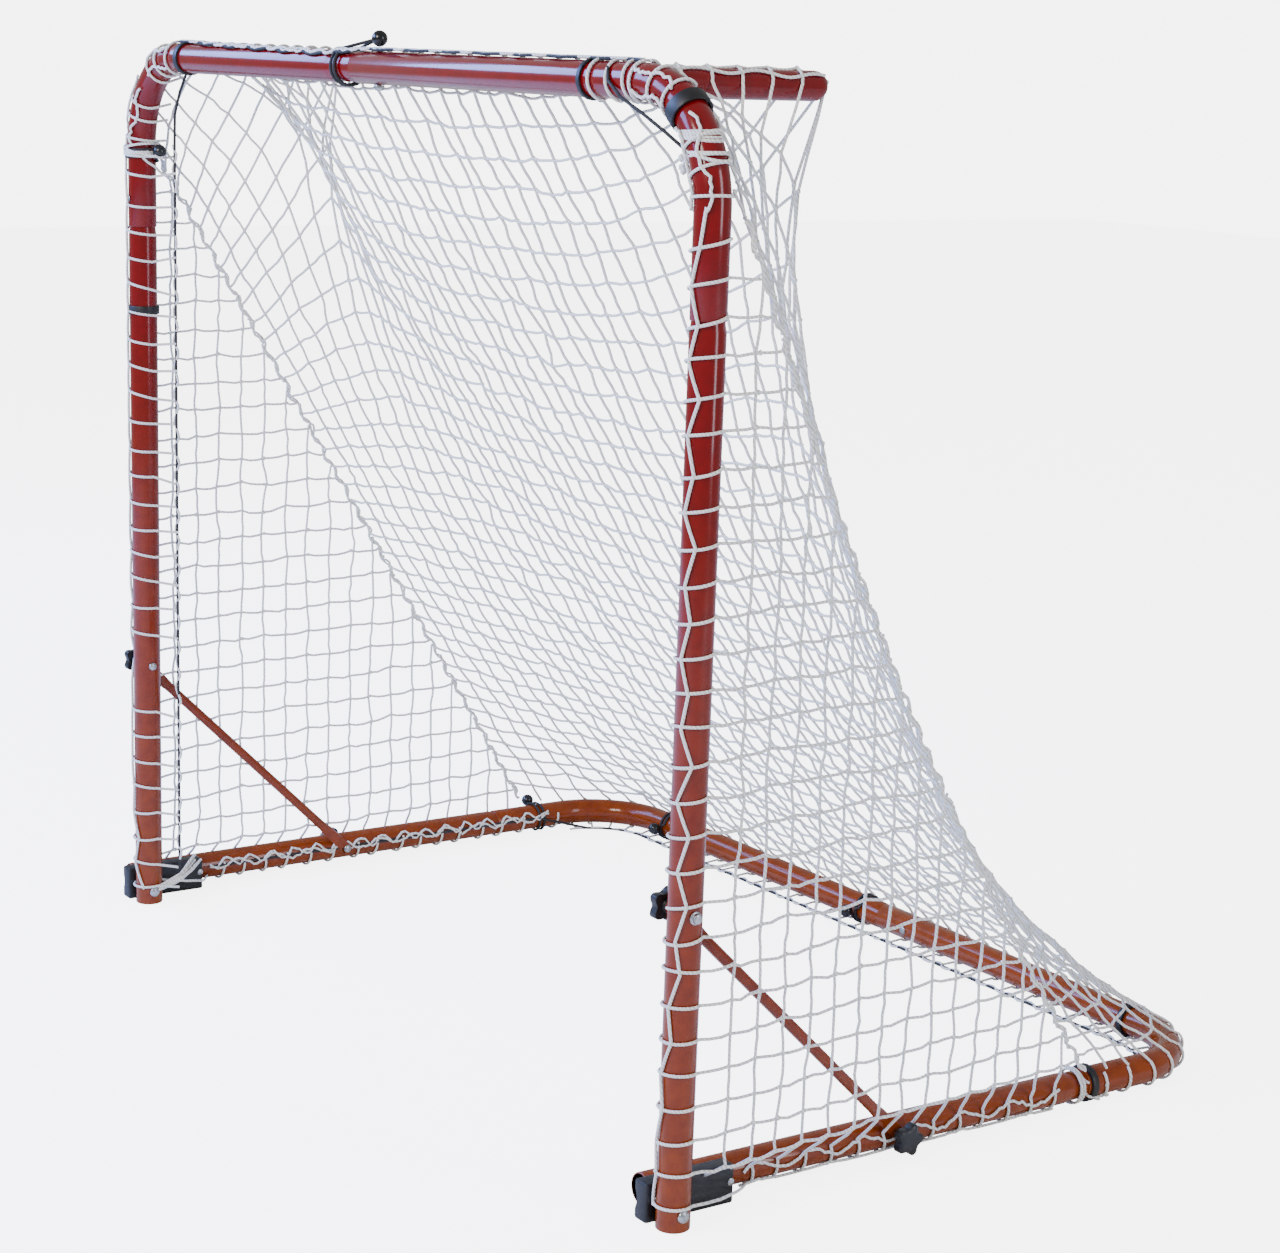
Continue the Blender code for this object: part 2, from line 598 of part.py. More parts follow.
def make_tie(name, centre, axis, ball_dir, ball_shift, carrier, turns=2):
    """An elastic ball tie: two turns of cord round a tube, its ends drawn through a ball."""
    axis = Vector(axis).normalized()
    out = Vector(ball_dir).normalized()
    third = axis.cross(out)
    wrap_r = TUBE_R + GAP + CORD_R
    pitch = 2 * CORD_R + 0.0042
    steps = 22
    path = []
    ball_at = centre + axis * ball_shift + out * (TUBE_R + BALL_R + 2 * CORD_R + 0.001)
    total = turns * steps
    for i in range(total + 1):
        angle = 2 * math.pi * (i + 1.2) / (total + 2.4) * turns
        lift = 0.0002
        offset = (i / total - 0.5) * pitch * turns
        path.append(centre + axis * offset + (out * math.cos(angle) + third * math.sin(angle)) * (wrap_r + lift))
    lead = BALL_R + GAP + CORD_R + 0.0006
    first = ball_at + (path[0] - ball_at).normalized() * lead
    last = ball_at + (path[-1] - ball_at).normalized() * lead
    cord = rod(name + "_cord", [first] + path + [last], CORD_R, 1)
    paint(cord, BLACK, 0.7)
    hang(cord, carrier)
    bm = bmesh.new()
    bmesh.ops.create_uvsphere(bm, u_segments=14, v_segments=8, radius=BALL_R)
    mesh = bpy.data.meshes.new(name)
    bm.to_mesh(mesh)
    bm.free()
    ball = mesh_object(name + "_ball", mesh, ball_at)
    ball.rotation_mode = "QUATERNION"
    ball.rotation_quaternion = Vector((0, 0, 1)).rotation_difference(out)
    smooth(ball)
    paint(ball, BLACK, 0.3)
    hang(ball, carrier)


def bend_place(side, degrees):
    """A point on a corner tube's bend and the direction of the tube there."""
    centre = at(side * (POST_X - BEND_R), 0, BAR_Z - BEND_R)
    a = math.radians(degrees)
    place = centre + BEND_R * Vector((side * math.cos(a), 0, math.sin(a)))
    return place, Vector((-side * math.sin(a), 0, math.cos(a)))


def make_trim(front, base):
    """Net clips and ball ties, where the net is held to the frame."""
    make_clip("left_crossbar_clip", at(-0.517, 0, BAR_Z), (1, 0, 0), 0.010, front, (0.014, 0.003, 0.013), 2.2)
    make_clip("right_crossbar_clip", at(0.449, 0, BAR_Z), (1, 0, 0), 0.006, front, (0.012, 0.003, 0.009), 0.6)
    make_clip("left_post_clip", at(-POST_X, 0, 0.859), (0, 0, 1), 0.011, front, (0.012, 0.004, 0.011), 2.6)
    place, run = bend_place(1, 52)
    make_clip("right_corner_clip", place, run, 0.015, front, (0.017, 0.005, 0.017), 2.3, 0.0014)
    make_clip("right_side_clip", at(base_x(1), 0.654, BASE_Z), (0, 1, 0), 0.009, base, thick=0.0042)
    make_clip("right_rear_clip", at(0.473, BASE_DEPTH, BASE_Z), (1, 0, 0), 0.009, base, thick=0.0042)
    make_tie("crossbar_tie", at(-0.080, 0, BAR_Z), (1, 0, 0), (0, 0, 1), 0.074, front)
    make_tie("left_corner_tie", at(-POST_X, 0, 1.069), (0, 0, 1), (0.94, 0.34, 0), 0.006, front)
    make_tie("left_side_tie", at(base_x(-1), 0.704, BASE_Z), (0, 1, 0), (-0.8, 0, 0.6), 0.0, base)
    make_tie("left_rear_tie", at(-0.572, BASE_DEPTH, BASE_Z), (1, 0, 0), (0, -1, 0), 0.0, base)
    make_tie("back_bar_tie", at(-0.074, BASE_DEPTH, BASE_Z), (1, 0, 0), (0, -1, 0), -0.006, base)


LACE_IN = 0.040              # lacing, from a post's axis towards the mouth's middle
LACE_BACK = 0.030            # and towards the net
LACE_TOP_BACK = 0.022        # along the crossbar it lies on the arms


def make_lacing(front, base):
    """Elastic cord that laces the net's edges to itself behind the posts and bars."""
    x = POST_X - LACE_IN
    top = BAR_Z + 0.019
    run = 0.075
    path = [at(-x, LACE_BACK, 0.055 + i * (top - run - 0.055) / 6) for i in range(7)]
    path += arc(at(-x + run, LACE_BACK, top - run), Vector((-1, 0, 0)), Vector((0, 0, 1)), run, 15, 75, 4)
    span = x - run
    path += [at(-span + 2 * span * i / 8, LACE_TOP_BACK, top) for i in range(9)]
    path += arc(at(x - run, LACE_BACK, top - run), Vector((1, 0, 0)), Vector((0, 0, 1)), run, 75, 15, 4)
    path += [at(x, LACE_BACK, 0.055 + i * (top - run - 0.055) / 6) for i in range(6, -1, -1)]
    cord = rod("front_lacing_cord", path, CORD_R, 1)
    paint(cord, BLACK, 0.75)
    hang(cord, front)
    inset = 0.036
    left, right = base_x(-1) + inset, base_x(1) - inset
    back = BASE_DEPTH - inset
    turn = BEND_R - inset
    height = CORD_R + 0.0010
    path = [at(left, 0.13 + i * (BASE_DEPTH - BEND_R - 0.13) / 5, height) for i in range(6)]
    path += arc(at(left + turn, back - turn, height), Vector((-1, 0, 0)), Vector((0, 1, 0)), turn, 15, 90, 5)
    path += [at(left + turn + (right - left - 2 * turn) * i / 8, back, height) for i in range(1, 9)]
    path += arc(at(right - turn, back - turn, height), Vector((1, 0, 0)), Vector((0, 1, 0)), turn, 75, 0, 5)
    path += [at(right, BASE_DEPTH - BEND_R - i * (BASE_DEPTH - BEND_R - 0.13) / 5, height) for i in range(1, 6)]
    cord = rod("base_lacing_cord", path, CORD_R, 1)
    paint(cord, BLACK, 0.75)
    hang(cord, base)


# ---------------------------------------------------------------- net panels
SEAM_TOP = Vector((0.030, 1.070))
SEAM_LOW = Vector((0.660, 0.052))
SEAM_SAG = 0.050


def seam_point(t):
    """(y, z) of the seam between a side panel and the back panel, from top (0) to bottom (1)."""
    straight = SEAM_TOP.lerp(SEAM_LOW, t)
    normal = Vector((SEAM_TOP.y - SEAM_LOW.y, SEAM_LOW.x - SEAM_TOP.x)).normalized()
    return straight - normal * SEAM_SAG * math.sin(math.pi * t)


def side_net_x(side, y):
    """Side panels stand just outside the braces."""
    front_x = -0.034 if side < 0 else 0.000
    rear_x = -0.076 if side < 0 else -0.022
    return side * POST_X + front_x + (rear_x - front_x) * y / SEAM_LOW.x


def make_side_net(name, side, base):
    """A side panel of netting between post, base tube and seam, with a lap round each of the two tubes."""
    rows, columns = 24, 8
    first = 0.0245
    bm = bmesh.new()
    grid = []
    for i in range(rows + 1):
        seam = seam_point(i / rows)
        wide = max(seam.x - 0.0015 - first, 0.004)
        stops = [first + wide * j / columns for j in range(columns + 1)]
        grid.append([bm.verts.new(at(side_net_x(side, y), y, seam.y)) for y in stops])
    skin_grid(bm, grid)
    post_lap = [line for line in grid if 0.42 < line[0].co.z < 0.80]
    angles = ([60, 30] if side > 0 else []) + [0, -30, -60, -90, -120, -150, -180]
    laps = []
    for line in post_lap:
        z = line[0].co.z
        turn = [(first * math.cos(math.radians(a)), first * math.sin(math.radians(a))) for a in angles]
        laps.append([line[0]] + [bm.verts.new(at(side * (POST_X + x), y, z)) for x, y in turn + [(-0.034, 0.020)]])
    skin_grid(bm, laps)
    base_lap = [vert for vert in grid[-1] if 0.40 < vert.co.y - MOUTH_Y < 0.60]
    reach = TUBE_R + 0.004
    laps = []
    for vert in base_lap:
        down = [bm.verts.new(Vector((MOUTH_X + base_x(side) + side * reach, vert.co.y, z))) for z in (0.030, 0.004)]
        laps.append([vert] + down)
    skin_grid(bm, laps)
    bmesh.ops.recalc_face_normals(bm, faces=bm.faces)
    mesh = bpy.data.meshes.new(name)
    bm.to_mesh(mesh)
    bm.free()
    net = mesh_object(name, mesh)
    finish_net(net, base)


def skin_grid(bm, grid):
    """Quads between the rows of a grid of vertices."""
    for upper, lower in zip(grid, grid[1:]):
        for j in range(len(upper) - 1):
            bm.faces.new((upper[j], upper[j + 1], lower[j + 1], lower[j]))


def finish_net(net, base):
    thick = net.modifiers.new("netting", "SOLIDIFY")
    thick.thickness = NET_T
    thick.offset = 0
    smooth(net)
    paint(net, WHITE, 0.8)
    hang(net, base)


def back_net_edges(t):
    """Top and bottom edge of the back panel at t, from the left seam (0) to the right seam (1)."""
    behind, over = 0.030, 0.0185
    straight = POST_X - BEND_R
    stops = (0.09, 0.91)
    if stops[0] <= t <= stops[1]:
        u = (t - stops[0]) / (stops[1] - stops[0])
        top = at(straight * (2 * u - 1), behind, BAR_Z + over)
    else:
        side = -1 if t < 0.5 else 1
        a = math.radians(90 * min(t, 1 - t) / stops[0])
        top = at(side * (straight + (BEND_R + 0.4 * over) * math.cos(a)), behind + 0.006,
                 BAR_Z - BEND_R + (BEND_R + over) * math.sin(a))
    rise = BASE_Z + TUBE_R + 0.008
    y0 = SEAM_LOW.x
    left, right = base_x(-1), base_x(1)
    corner = BASE_DEPTH - BEND_R
    if t < 0.05:
        low = at(left, y0 + (corner - y0) * t / 0.05, rise)
    elif t < 0.14:
        a = math.radians(90 * (t - 0.05) / 0.09)
        low = at(left + BEND_R - BEND_R * math.cos(a), corner + BEND_R * math.sin(a), rise)
    elif t <= 0.86:
        u = (t - 0.14) / 0.72
        low = at(left + BEND_R + (right - left - 2 * BEND_R) * u, BASE_DEPTH, rise)
    elif t < 0.95:
        a = math.radians(90 * (0.95 - t) / 0.09)
        low = at(right - BEND_R + BEND_R * math.cos(a), corner + BEND_R * math.sin(a), rise)
    else:
        low = at(right, corner - (corner - y0) * (t - 0.95) / 0.05, rise)
    return top, low


def make_back_net(base):
    """The back panel: over the crossbar and the arms, then down in a hollow curve to the back bar."""
    columns, rows = 24, 14
    ramp = [i / columns for i in range(columns + 1)]
    shelf = [(0.35 * ARM_REACH, 0), (0.66 * ARM_REACH, 0), (ARM_REACH - 0.010, 0), (ARM_REACH + 0.011, 0.018)]
    grid = []
    held = []
    for i, t in enumerate(ramp):
        top, low = back_net_edges(t)
        line = []
        for j in range(rows + 1):
            s = j / rows
            line.append(top.lerp(low, s))
        grid.append(line)
        held.append([j in (0, rows) or i in (0, columns) for j in range(rows + 1)])
    for i, side in ((0, -1), (columns, 1)):
        for j in range(rows + 1):
            seam = seam_point(j / rows)
            grid[i][j] = at(side_net_x(side, seam.x + 0.001) - side * 0.0015, seam.x + 0.0015, seam.y)
    arm_top = BAR_Z + ARM_D / 2 + 0.0024
    for i, t in enumerate(ramp):
        x = (2 * t - 1) * POST_X
        if abs(x) > ARM_X + 0.030:
            continue
        for j, (y, drop) in enumerate(shelf, start=1):
            grid[i][j] = at(x, y, arm_top - drop)
            held[i][j] = True
    for _ in range(400):
        for i in range(1, columns):
            for j in range(1, rows):
                if not held[i][j]:
                    around = grid[i - 1][j] + grid[i + 1][j] + 1.6 * (grid[i][j - 1] + grid[i][j + 1])
                    grid[i][j] = around / 5.2
    bm = bmesh.new()
    skin_grid(bm, [[bm.verts.new(p) for p in line] for line in grid])
    mesh = bpy.data.meshes.new("net_back")
    bm.to_mesh(mesh)
    bm.free()
    net = mesh_object("net_back", mesh)
    finish_net(net, base)


# ---------------------------------------------------------------- the goal
def make_goal():
    base = add_empty("base_carrier", at(0, 0, 0))
    front = add_empty("front_hinge", at(0, 0, TUBE_R))
    hang(front, base)
    axles = {}
    for name, side in SIDES:
        axles[name + "_brace"] = add_empty(name + "_brace_axis", at(side * POST_X, 0, BRACE_POST_Z))
        axles[name + "_post_knob"] = add_empty(name + "_post_knob_axis", at(side * POST_X, 0, BRACE_POST_Z))
        axles[name + "_base_knob"] = add_empty(name + "_base_knob_axis",
                                               at(base_x(side), BRACE_BASE_Y, BRACE_BASE_Z))
        hang(axles[name + "_brace"], front)
        hang(axles[name + "_post_knob"], front)
        hang(axles[name + "_base_knob"], base)
    make_posts(front)
    make_corner_tubes(front)
    make_arms(front)
    make_base_tubes(base)
    make_pivot_blocks(base)
    for name, side in SIDES:
        make_brace(name + "_brace", side, axles[name + "_brace"])
    make_brace_fasteners(front, base, axles)
    make_joint_fasteners(front, base)
    make_trim(front, base)
    make_lacing(front, base)
    for name, side in SIDES:
        make_side_net("net_" + name, side, base)
    make_back_net(base)
    bpy.context.view_layer.update()


make_goal()
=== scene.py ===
# %% [markdown]
# # A folding street goal
#
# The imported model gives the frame: every tube, bolt and band has its place there. This notebook dresses it.
# The tubes are swept again with fine sides, the small fittings get soft edges, and the three plain net
# panels become knotted twine with its lacing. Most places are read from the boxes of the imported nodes, and
# the rest are short measures from the middle of the mouth.

# %% Import and load
import json
import math

import bmesh
import bpy
import numpy as np
from mathutils import Matrix, Vector

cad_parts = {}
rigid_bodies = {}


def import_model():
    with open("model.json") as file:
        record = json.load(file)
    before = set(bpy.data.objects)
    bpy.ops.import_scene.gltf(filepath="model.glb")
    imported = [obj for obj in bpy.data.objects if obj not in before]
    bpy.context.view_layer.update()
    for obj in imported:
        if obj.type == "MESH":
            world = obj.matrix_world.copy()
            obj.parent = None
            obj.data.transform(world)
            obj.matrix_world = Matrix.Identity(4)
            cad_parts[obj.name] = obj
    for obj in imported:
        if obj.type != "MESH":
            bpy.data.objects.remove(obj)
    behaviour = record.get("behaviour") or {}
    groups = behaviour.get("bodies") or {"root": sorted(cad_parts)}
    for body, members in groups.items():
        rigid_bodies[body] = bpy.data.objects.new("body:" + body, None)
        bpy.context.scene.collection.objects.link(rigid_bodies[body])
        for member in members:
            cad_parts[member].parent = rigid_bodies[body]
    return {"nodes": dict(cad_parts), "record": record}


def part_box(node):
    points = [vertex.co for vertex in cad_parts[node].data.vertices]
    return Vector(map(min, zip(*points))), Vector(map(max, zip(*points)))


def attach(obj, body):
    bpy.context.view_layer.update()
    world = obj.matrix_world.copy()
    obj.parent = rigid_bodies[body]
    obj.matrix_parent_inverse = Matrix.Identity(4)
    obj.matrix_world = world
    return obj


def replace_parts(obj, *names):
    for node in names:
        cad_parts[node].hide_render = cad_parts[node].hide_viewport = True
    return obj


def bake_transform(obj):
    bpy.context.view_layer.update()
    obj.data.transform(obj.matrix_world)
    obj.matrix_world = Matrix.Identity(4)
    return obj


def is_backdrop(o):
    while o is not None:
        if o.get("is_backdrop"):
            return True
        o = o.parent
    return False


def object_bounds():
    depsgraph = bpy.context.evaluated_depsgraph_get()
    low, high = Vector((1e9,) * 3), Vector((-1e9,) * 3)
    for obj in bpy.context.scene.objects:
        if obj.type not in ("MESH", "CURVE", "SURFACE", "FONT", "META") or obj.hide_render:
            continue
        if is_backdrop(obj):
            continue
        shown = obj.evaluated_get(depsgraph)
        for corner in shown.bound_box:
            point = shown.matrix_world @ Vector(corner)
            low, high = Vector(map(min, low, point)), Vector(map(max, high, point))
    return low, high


for old in list(bpy.data.objects):
    bpy.data.objects.remove(old, do_unlink=True)
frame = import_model()
size_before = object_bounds()
rng = np.random.default_rng(7)

# %% [markdown]
# ## Measures
#
# A straight post's box gives its axis and its radius. The crossbar's axis is one radius below the top of
# its tube, and the back bar's is one radius in front of the back of its own. With those few numbers every
# net strand can be placed from the middle of the mouth. The comments say what the plain numbers stand for.

# %% Read the measures
POST_LOW, POST_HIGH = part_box("right_post")
LEFT_LOW, LEFT_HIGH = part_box("left_post")
R = (POST_HIGH.x - POST_LOW.x) / 2
RIGHT_X = (POST_HIGH.x + POST_LOW.x) / 2
LEFT_X = (LEFT_HIGH.x + LEFT_LOW.x) / 2
MID_X = (LEFT_X + RIGHT_X) / 2
W = (RIGHT_X - LEFT_X) / 2
Y0 = (POST_HIGH.y + POST_LOW.y) / 2
BAR_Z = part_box("left_corner_tube")[1].z - R
BASE_LOW, BASE_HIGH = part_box("right_base_tube")
BASE_Z = (BASE_LOW.z + BASE_HIGH.z) / 2
BASE_OFF = RIGHT_X - (BASE_LOW.x + BASE_HIGH.x) / 2
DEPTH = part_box("left_rear_tube")[1].y - R - Y0
SEAM_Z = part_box("left_corner_tube")[0].z
SIDE_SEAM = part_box("left_rear_tube")[0].y - Y0
BEND = 0.120  # radius of every bend, at the tube's axis
ARM_LOW, ARM_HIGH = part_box("right_shelf_arm")
ARM_X = (ARM_LOW.x + ARM_HIGH.x) / 2 - MID_X
ARM_R = (ARM_HIGH.x - ARM_LOW.x) / 2
ARM_TIP = ARM_HIGH.y - Y0
LACE = RIGHT_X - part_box("front_lacing_cord")[1].x + 0.002
MESH = 0.038  # from knot to knot
TWINE = 0.0018  # radius of the twine
HUG = R + TWINE + 0.0004  # from a tube's axis to the middle of twine that lies on it
DIAG = HUG * math.sqrt(0.5)  # the same, shared equally between two directions
LACE_BACK = 0.030  # the lacing cord stands this far behind a post's axis
BASE_LACE = 0.036  # and this far inside the axis of a base tube
BOLT_Z = 0.355  # height of the brace bolts through the posts
BASE_BOLT_Y = 0.346  # and how far back those through the base tubes are
TIE_X = -0.080  # the crossbar's ball tie
CLIP_X = 0.449  # the crossbar's right clip
UP, DOWN, FACE = (0, 0, 1), (0, 0, -1), (0, -1, 0)


def at(x, y, z):
    """A point given from the middle of the mouth, on the floor."""
    return np.array((MID_X + x, Y0 + y, z))


print("post spacing", round(2 * W, 4), "crossbar axis", round(BAR_Z, 4), "depth", round(DEPTH, 4))

# %% [markdown]
# ## Node helper and colours
#
# Every finish is built from shader nodes on object coordinates, so nothing depends on the camera. One small
# helper adds a node and sets its inputs. Colours are written as sRGB hex and turned into linear values in
# one place.


# %% Node helper
def linear(code, alpha=1.0):
    """An sRGB hex colour as the linear values that shader sockets take."""
    parts = [int(code[i:i + 2], 16) / 255 for i in (1, 3, 5)]
    return tuple(c / 12.92 if c <= 0.04045 else ((c + 0.055) / 1.055) ** 2.4 for c in parts) + (alpha,)


def set_inputs(mat, made, **inputs):
    """Set a node's inputs by name; a value that is a socket is linked."""
    for name, value in inputs.items():
        socket = made.inputs[name.replace("_", " ")]
        if isinstance(value, bpy.types.NodeSocket):
            mat.node_tree.links.new(value, socket)
        else:
            socket.default_value = value


def node(mat, kind, **inputs):
    """Add a node with its settings and links."""
    made = mat.node_tree.nodes.new(kind)
    set_inputs(mat, made, **inputs)
    return made


def new_material(name):
    """A material with only its Principled shader and a texture coordinate node."""
    mat = bpy.data.materials.new(name)
    mat.use_nodes = True
    shader = mat.node_tree.nodes["Principled BSDF"]
    place = mat.node_tree.nodes.new("ShaderNodeTexCoord").outputs["Object"]
    return mat, shader, place


def mix(mat, factor, a, b):
    """Mix two colours by a factor socket."""
    made = mat.node_tree.nodes.new("ShaderNodeMix")
    made.data_type = "RGBA"
    set_inputs(mat, made, Factor=factor, A=a, B=b)
    return made.outputs["Result"]


def ramp(mat, value, low, high, to_low=0.0, to_high=1.0):
    """Map a range to another, clamped."""
    limits = {"From_Min": low, "From_Max": high, "To_Min": to_low, "To_Max": to_high}
    return node(mat, "ShaderNodeMapRange", Value=value, **limits).outputs["Result"]


def bumps(mat, height, distance, strength=0.5):
    """A bump from a height socket, with its depth in metres."""
    return node(mat, "ShaderNodeBump", Height=height, Distance=distance, Strength=strength).outputs["Normal"]


# %% [markdown]
# ## Powder coat
#
# The tubes are steel with a deep crimson gloss powder coat; the burnt orange-red that grows towards the feet
# is a painted reflection of the floor.
# It has a fine orange peel and a clear top layer for the sharp highlight. A noise of scale 1000 has cells
# about one millimetre across, so each scale below is 1000 divided by the size wanted.

# %% Powder coat
def powder_coat():
    """Powder coat sprayed on steel and baked: a clear deep gloss with a faint orange peel."""
    mat, shader, place = new_material("gloss red powder coat")
    height = node(mat, "ShaderNodeSeparateXYZ", Vector=place).outputs["Z"]
    # slow clouds about 110 mm across keep the change from crimson to the painted floor reflection from being
    # a straight band
    cloud = node(mat, "ShaderNodeTexNoise", Vector=place, Scale=9.0, Detail=3.0).outputs["Fac"]
    drift = node(mat, "ShaderNodeMath", Value=cloud)
    drift.operation = "MULTIPLY_ADD"
    drift.inputs[1].default_value = 0.16
    mat.node_tree.links.new(height, drift.inputs[2])
    painted_reflection_share = ramp(mat, drift.outputs["Value"], 0.12, 0.92)
    # painted floor reflection: burnt orange low down, crimson high up
    colour = mix(mat, painted_reflection_share, linear("#863600"), linear("#740006"))
    # darker patches of handling wear, about 17 mm
    speck = node(mat, "ShaderNodeTexNoise", Vector=place, Scale=60.0, Detail=4.0).outputs["Fac"]
    colour = mix(mat, ramp(mat, speck, 0.40, 0.72, 0.0, 0.35), colour, linear("#520204"))
    # orange peel, about 2 mm
    peel = node(mat, "ShaderNodeTexNoise", Vector=place, Scale=520.0, Detail=2.0).outputs["Fac"]
    rough = ramp(mat, cloud, 0.3, 0.7, 0.16, 0.24)
    set_inputs(mat, shader, Base_Color=colour, Roughness=rough, Specular_IOR_Level=0.25,
               Normal=bumps(mat, peel, 0.00004, 0.4))
    set_inputs(mat, shader, Coat_Weight=0.35, Coat_Roughness=0.06)
    return mat


# %% [markdown]
# ## Zinc and black mouldings
#
# The bolts, nuts and rivets are zinc plated steel. The blocks and knobs are moulded nylon, the plugs
# polythene, the clips rubber and the balls a gloss plastic. The black ones differ only in their darkness,
# shine and grain, so one function makes them all.


# %% Zinc and black
def zinc():
    """Zinc plate on a steel bolt: bright and slightly cloudy, with a dull grain of about 4 mm."""
    mat, shader, place = new_material("bright zinc plate")
    cloud = node(mat, "ShaderNodeTexNoise", Vector=place, Scale=240.0, Detail=4.0).outputs["Fac"]
    colour = mix(mat, ramp(mat, cloud, 0.35, 0.7), linear("#c9cbcd"), linear("#8f9396"))
    set_inputs(mat, shader, Base_Color=colour, Roughness=ramp(mat, cloud, 0.3, 0.7, 0.22, 0.4), Metallic=1.0,
               Normal=bumps(mat, cloud, 0.00004, 0.4))
    return mat


def black(name, colour, rough, grain, depth):
    """Black plastic or rubber from a mould: a fine grain and a trace of dust that greys it."""
    mat, shader, place = new_material(name)
    cloud = node(mat, "ShaderNodeTexNoise", Vector=place, Scale=grain, Detail=3.0).outputs["Fac"]
    dust = node(mat, "ShaderNodeTexNoise", Vector=place, Scale=30.0, Detail=3.0).outputs["Fac"]
    tone = mix(mat, ramp(mat, dust, 0.45, 0.8, 0.0, 0.5), linear(colour), linear("#33353a"))
    set_inputs(mat, shader, Base_Color=tone, Roughness=ramp(mat, dust, 0.3, 0.7, rough - 0.06, rough + 0.08),
               Normal=bumps(mat, cloud, depth, 0.5))
    return mat


# %% [markdown]
# ## Cord and twine
#
# The elastic cords have a braided sleeve. The net is twisted white twine, whose twist comes round about
# every 6 mm, with a fuzz of under a millimetre that dulls it.


# %% Cord and twine
def braid(name, colour, light, rough):
    """A braided sleeve over rubber: small cells about a millimetre across, drawn coarse enough to show."""
    mat, shader, place = new_material(name)
    wave = node(mat, "ShaderNodeTexVoronoi", Vector=place, Scale=900.0).outputs["Distance"]
    tone = mix(mat, ramp(mat, wave, 0.1, 0.7), linear(colour), linear(light))
    set_inputs(mat, shader, Base_Color=tone, Roughness=rough, Normal=bumps(mat, wave, 0.0003, 0.6))
    return mat


def twine_finish():
    """Twisted polyester twine: matt, off white, with painted shade in the grooves between its plies."""
    mat, shader, place = new_material("white twisted twine")
    twist = node(mat, "ShaderNodeTexWave", Vector=place, Scale=110.0, Distortion=2.5, Detail=1.0)
    twist.bands_direction = "DIAGONAL"
    fuzz = node(mat, "ShaderNodeTexNoise", Vector=place, Scale=1400.0, Detail=2.0).outputs["Fac"]
    # the darker bands of the twist are painted shade in the grooves between the plies
    tone = mix(mat, ramp(mat, twist.outputs["Fac"], 0.1, 0.8), linear("#d2d2ce"), linear("#f8f8f5"))
    tone = mix(mat, ramp(mat, fuzz, 0.5, 0.8, 0.0, 0.25), tone, linear("#bcbcb8"))
    set_inputs(mat, shader, Base_Color=tone, Roughness=0.8, Sheen_Weight=0.2,
               Normal=bumps(mat, twist.outputs["Fac"], 0.0004, 0.7))
    return mat


# %% [markdown]
# ## One finish for each slot
#
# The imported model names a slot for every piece. This table gives each slot its finish.

# %% Table of finishes
FINISH = {
    "red_steel": powder_coat(),
    "zinc_steel": zinc(),
    "block": black("moulded black nylon", "#101114", 0.42, 700.0, 0.00005),
    "knob": black("moulded black knob", "#0d0e10", 0.34, 800.0, 0.00004),
    "plug": black("black polythene plug", "#131416", 0.55, 700.0, 0.00005),
    "clip": black("black rubber band", "#0f1012", 0.48, 500.0, 0.00006),
    "ball": black("gloss black ball", "#08090a", 0.16, 900.0, 0.00001),
    "elastic_cord": braid("braided elastic cord", "#08090a", "#2c2d31", 0.7),
    "net": twine_finish(),
}
SLOT = {part["node"]: part["material_slot"] for part in frame["record"]["subparts"]}
BODY = {name: body for body, names in frame["record"]["behaviour"]["bodies"].items() for name in names}
print(len(FINISH), "finishes")

# %% [markdown]
# ## Dressing a piece
#
# Every made piece needs its finish, which is looked up by slot name, and the body it rides on. One helper
# gives both, and another puts a mesh in the scene.


# %% Dress and link
def dress(obj, slot_name, body=None):
    """Give a piece its finish and let it ride on a body."""
    obj.data.materials.clear()
    obj.data.materials.append(FINISH[slot_name])
    if body:
        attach(obj, body)
    return obj


def link(name, data):
    """Put a mesh, curve, light or camera in the scene."""
    obj = bpy.data.objects.new(name, data)
    bpy.context.scene.collection.objects.link(obj)
    return obj


# %% [markdown]
# ## Tubes
#
# Each tube is swept along its axis as a round section with forty sides, which keeps the long highlights
# straight. Where a tube plugs into the next, its radius steps down over a short taper. A shallow rolled
# edge at each open end stops it from looking cut from paper.


# %% Sweep the front frame
ROUNDNESS = 18  # a bevel resolution of 18 gives forty sides


def sweep(name, points, radius, sizes):
    """A round rod along points; sizes gives each point's share of the radius."""
    curve = bpy.data.curves.new(name, "CURVE")
    curve.dimensions = "3D"
    curve.bevel_depth = radius
    curve.bevel_resolution = ROUNDNESS
    curve.use_fill_caps = True
    spline = curve.splines.new("POLY")
    spline.points.add(len(points) - 1)
    for i, point in enumerate(points):
        spline.points[i].co = (*point, 1.0)
        spline.points[i].radius = sizes[i]
    carrier = link(name, curve)
    mesh = bpy.data.meshes.new_from_object(carrier.evaluated_get(bpy.context.evaluated_depsgraph_get()))
    bpy.data.objects.remove(carrier)
    bpy.data.curves.remove(curve)
    obj = link(name, mesh)
    mesh.shade_smooth()
    mesh.set_sharp_from_angle(angle=math.radians(40))
    return obj


LIP = 0.0011  # length of a rolled edge


def rolled(points, sizes, start=True, end=True):
    """Add a small rolled edge at the ends of a run of points."""
    points = [np.array(p) for p in points]
    sizes = list(sizes)
    if start:
        along = (points[1] - points[0]) / np.linalg.norm(points[1] - points[0])
        first = points[0]
        points = [first, first + along * LIP * 0.3, first + along * LIP] + points[1:]
        sizes = [sizes[0] * 0.965, sizes[0] * 0.988, sizes[0]] + sizes[1:]
    if end:
        along = (points[-2] - points[-1]) / np.linalg.norm(points[-2] - points[-1])
        last = points[-1]
        points = points[:-1] + [last + along * LIP, last + along * LIP * 0.3, last]
        sizes = sizes[:-1] + [sizes[-1], sizes[-1] * 0.988, sizes[-1] * 0.965]
    return points, sizes


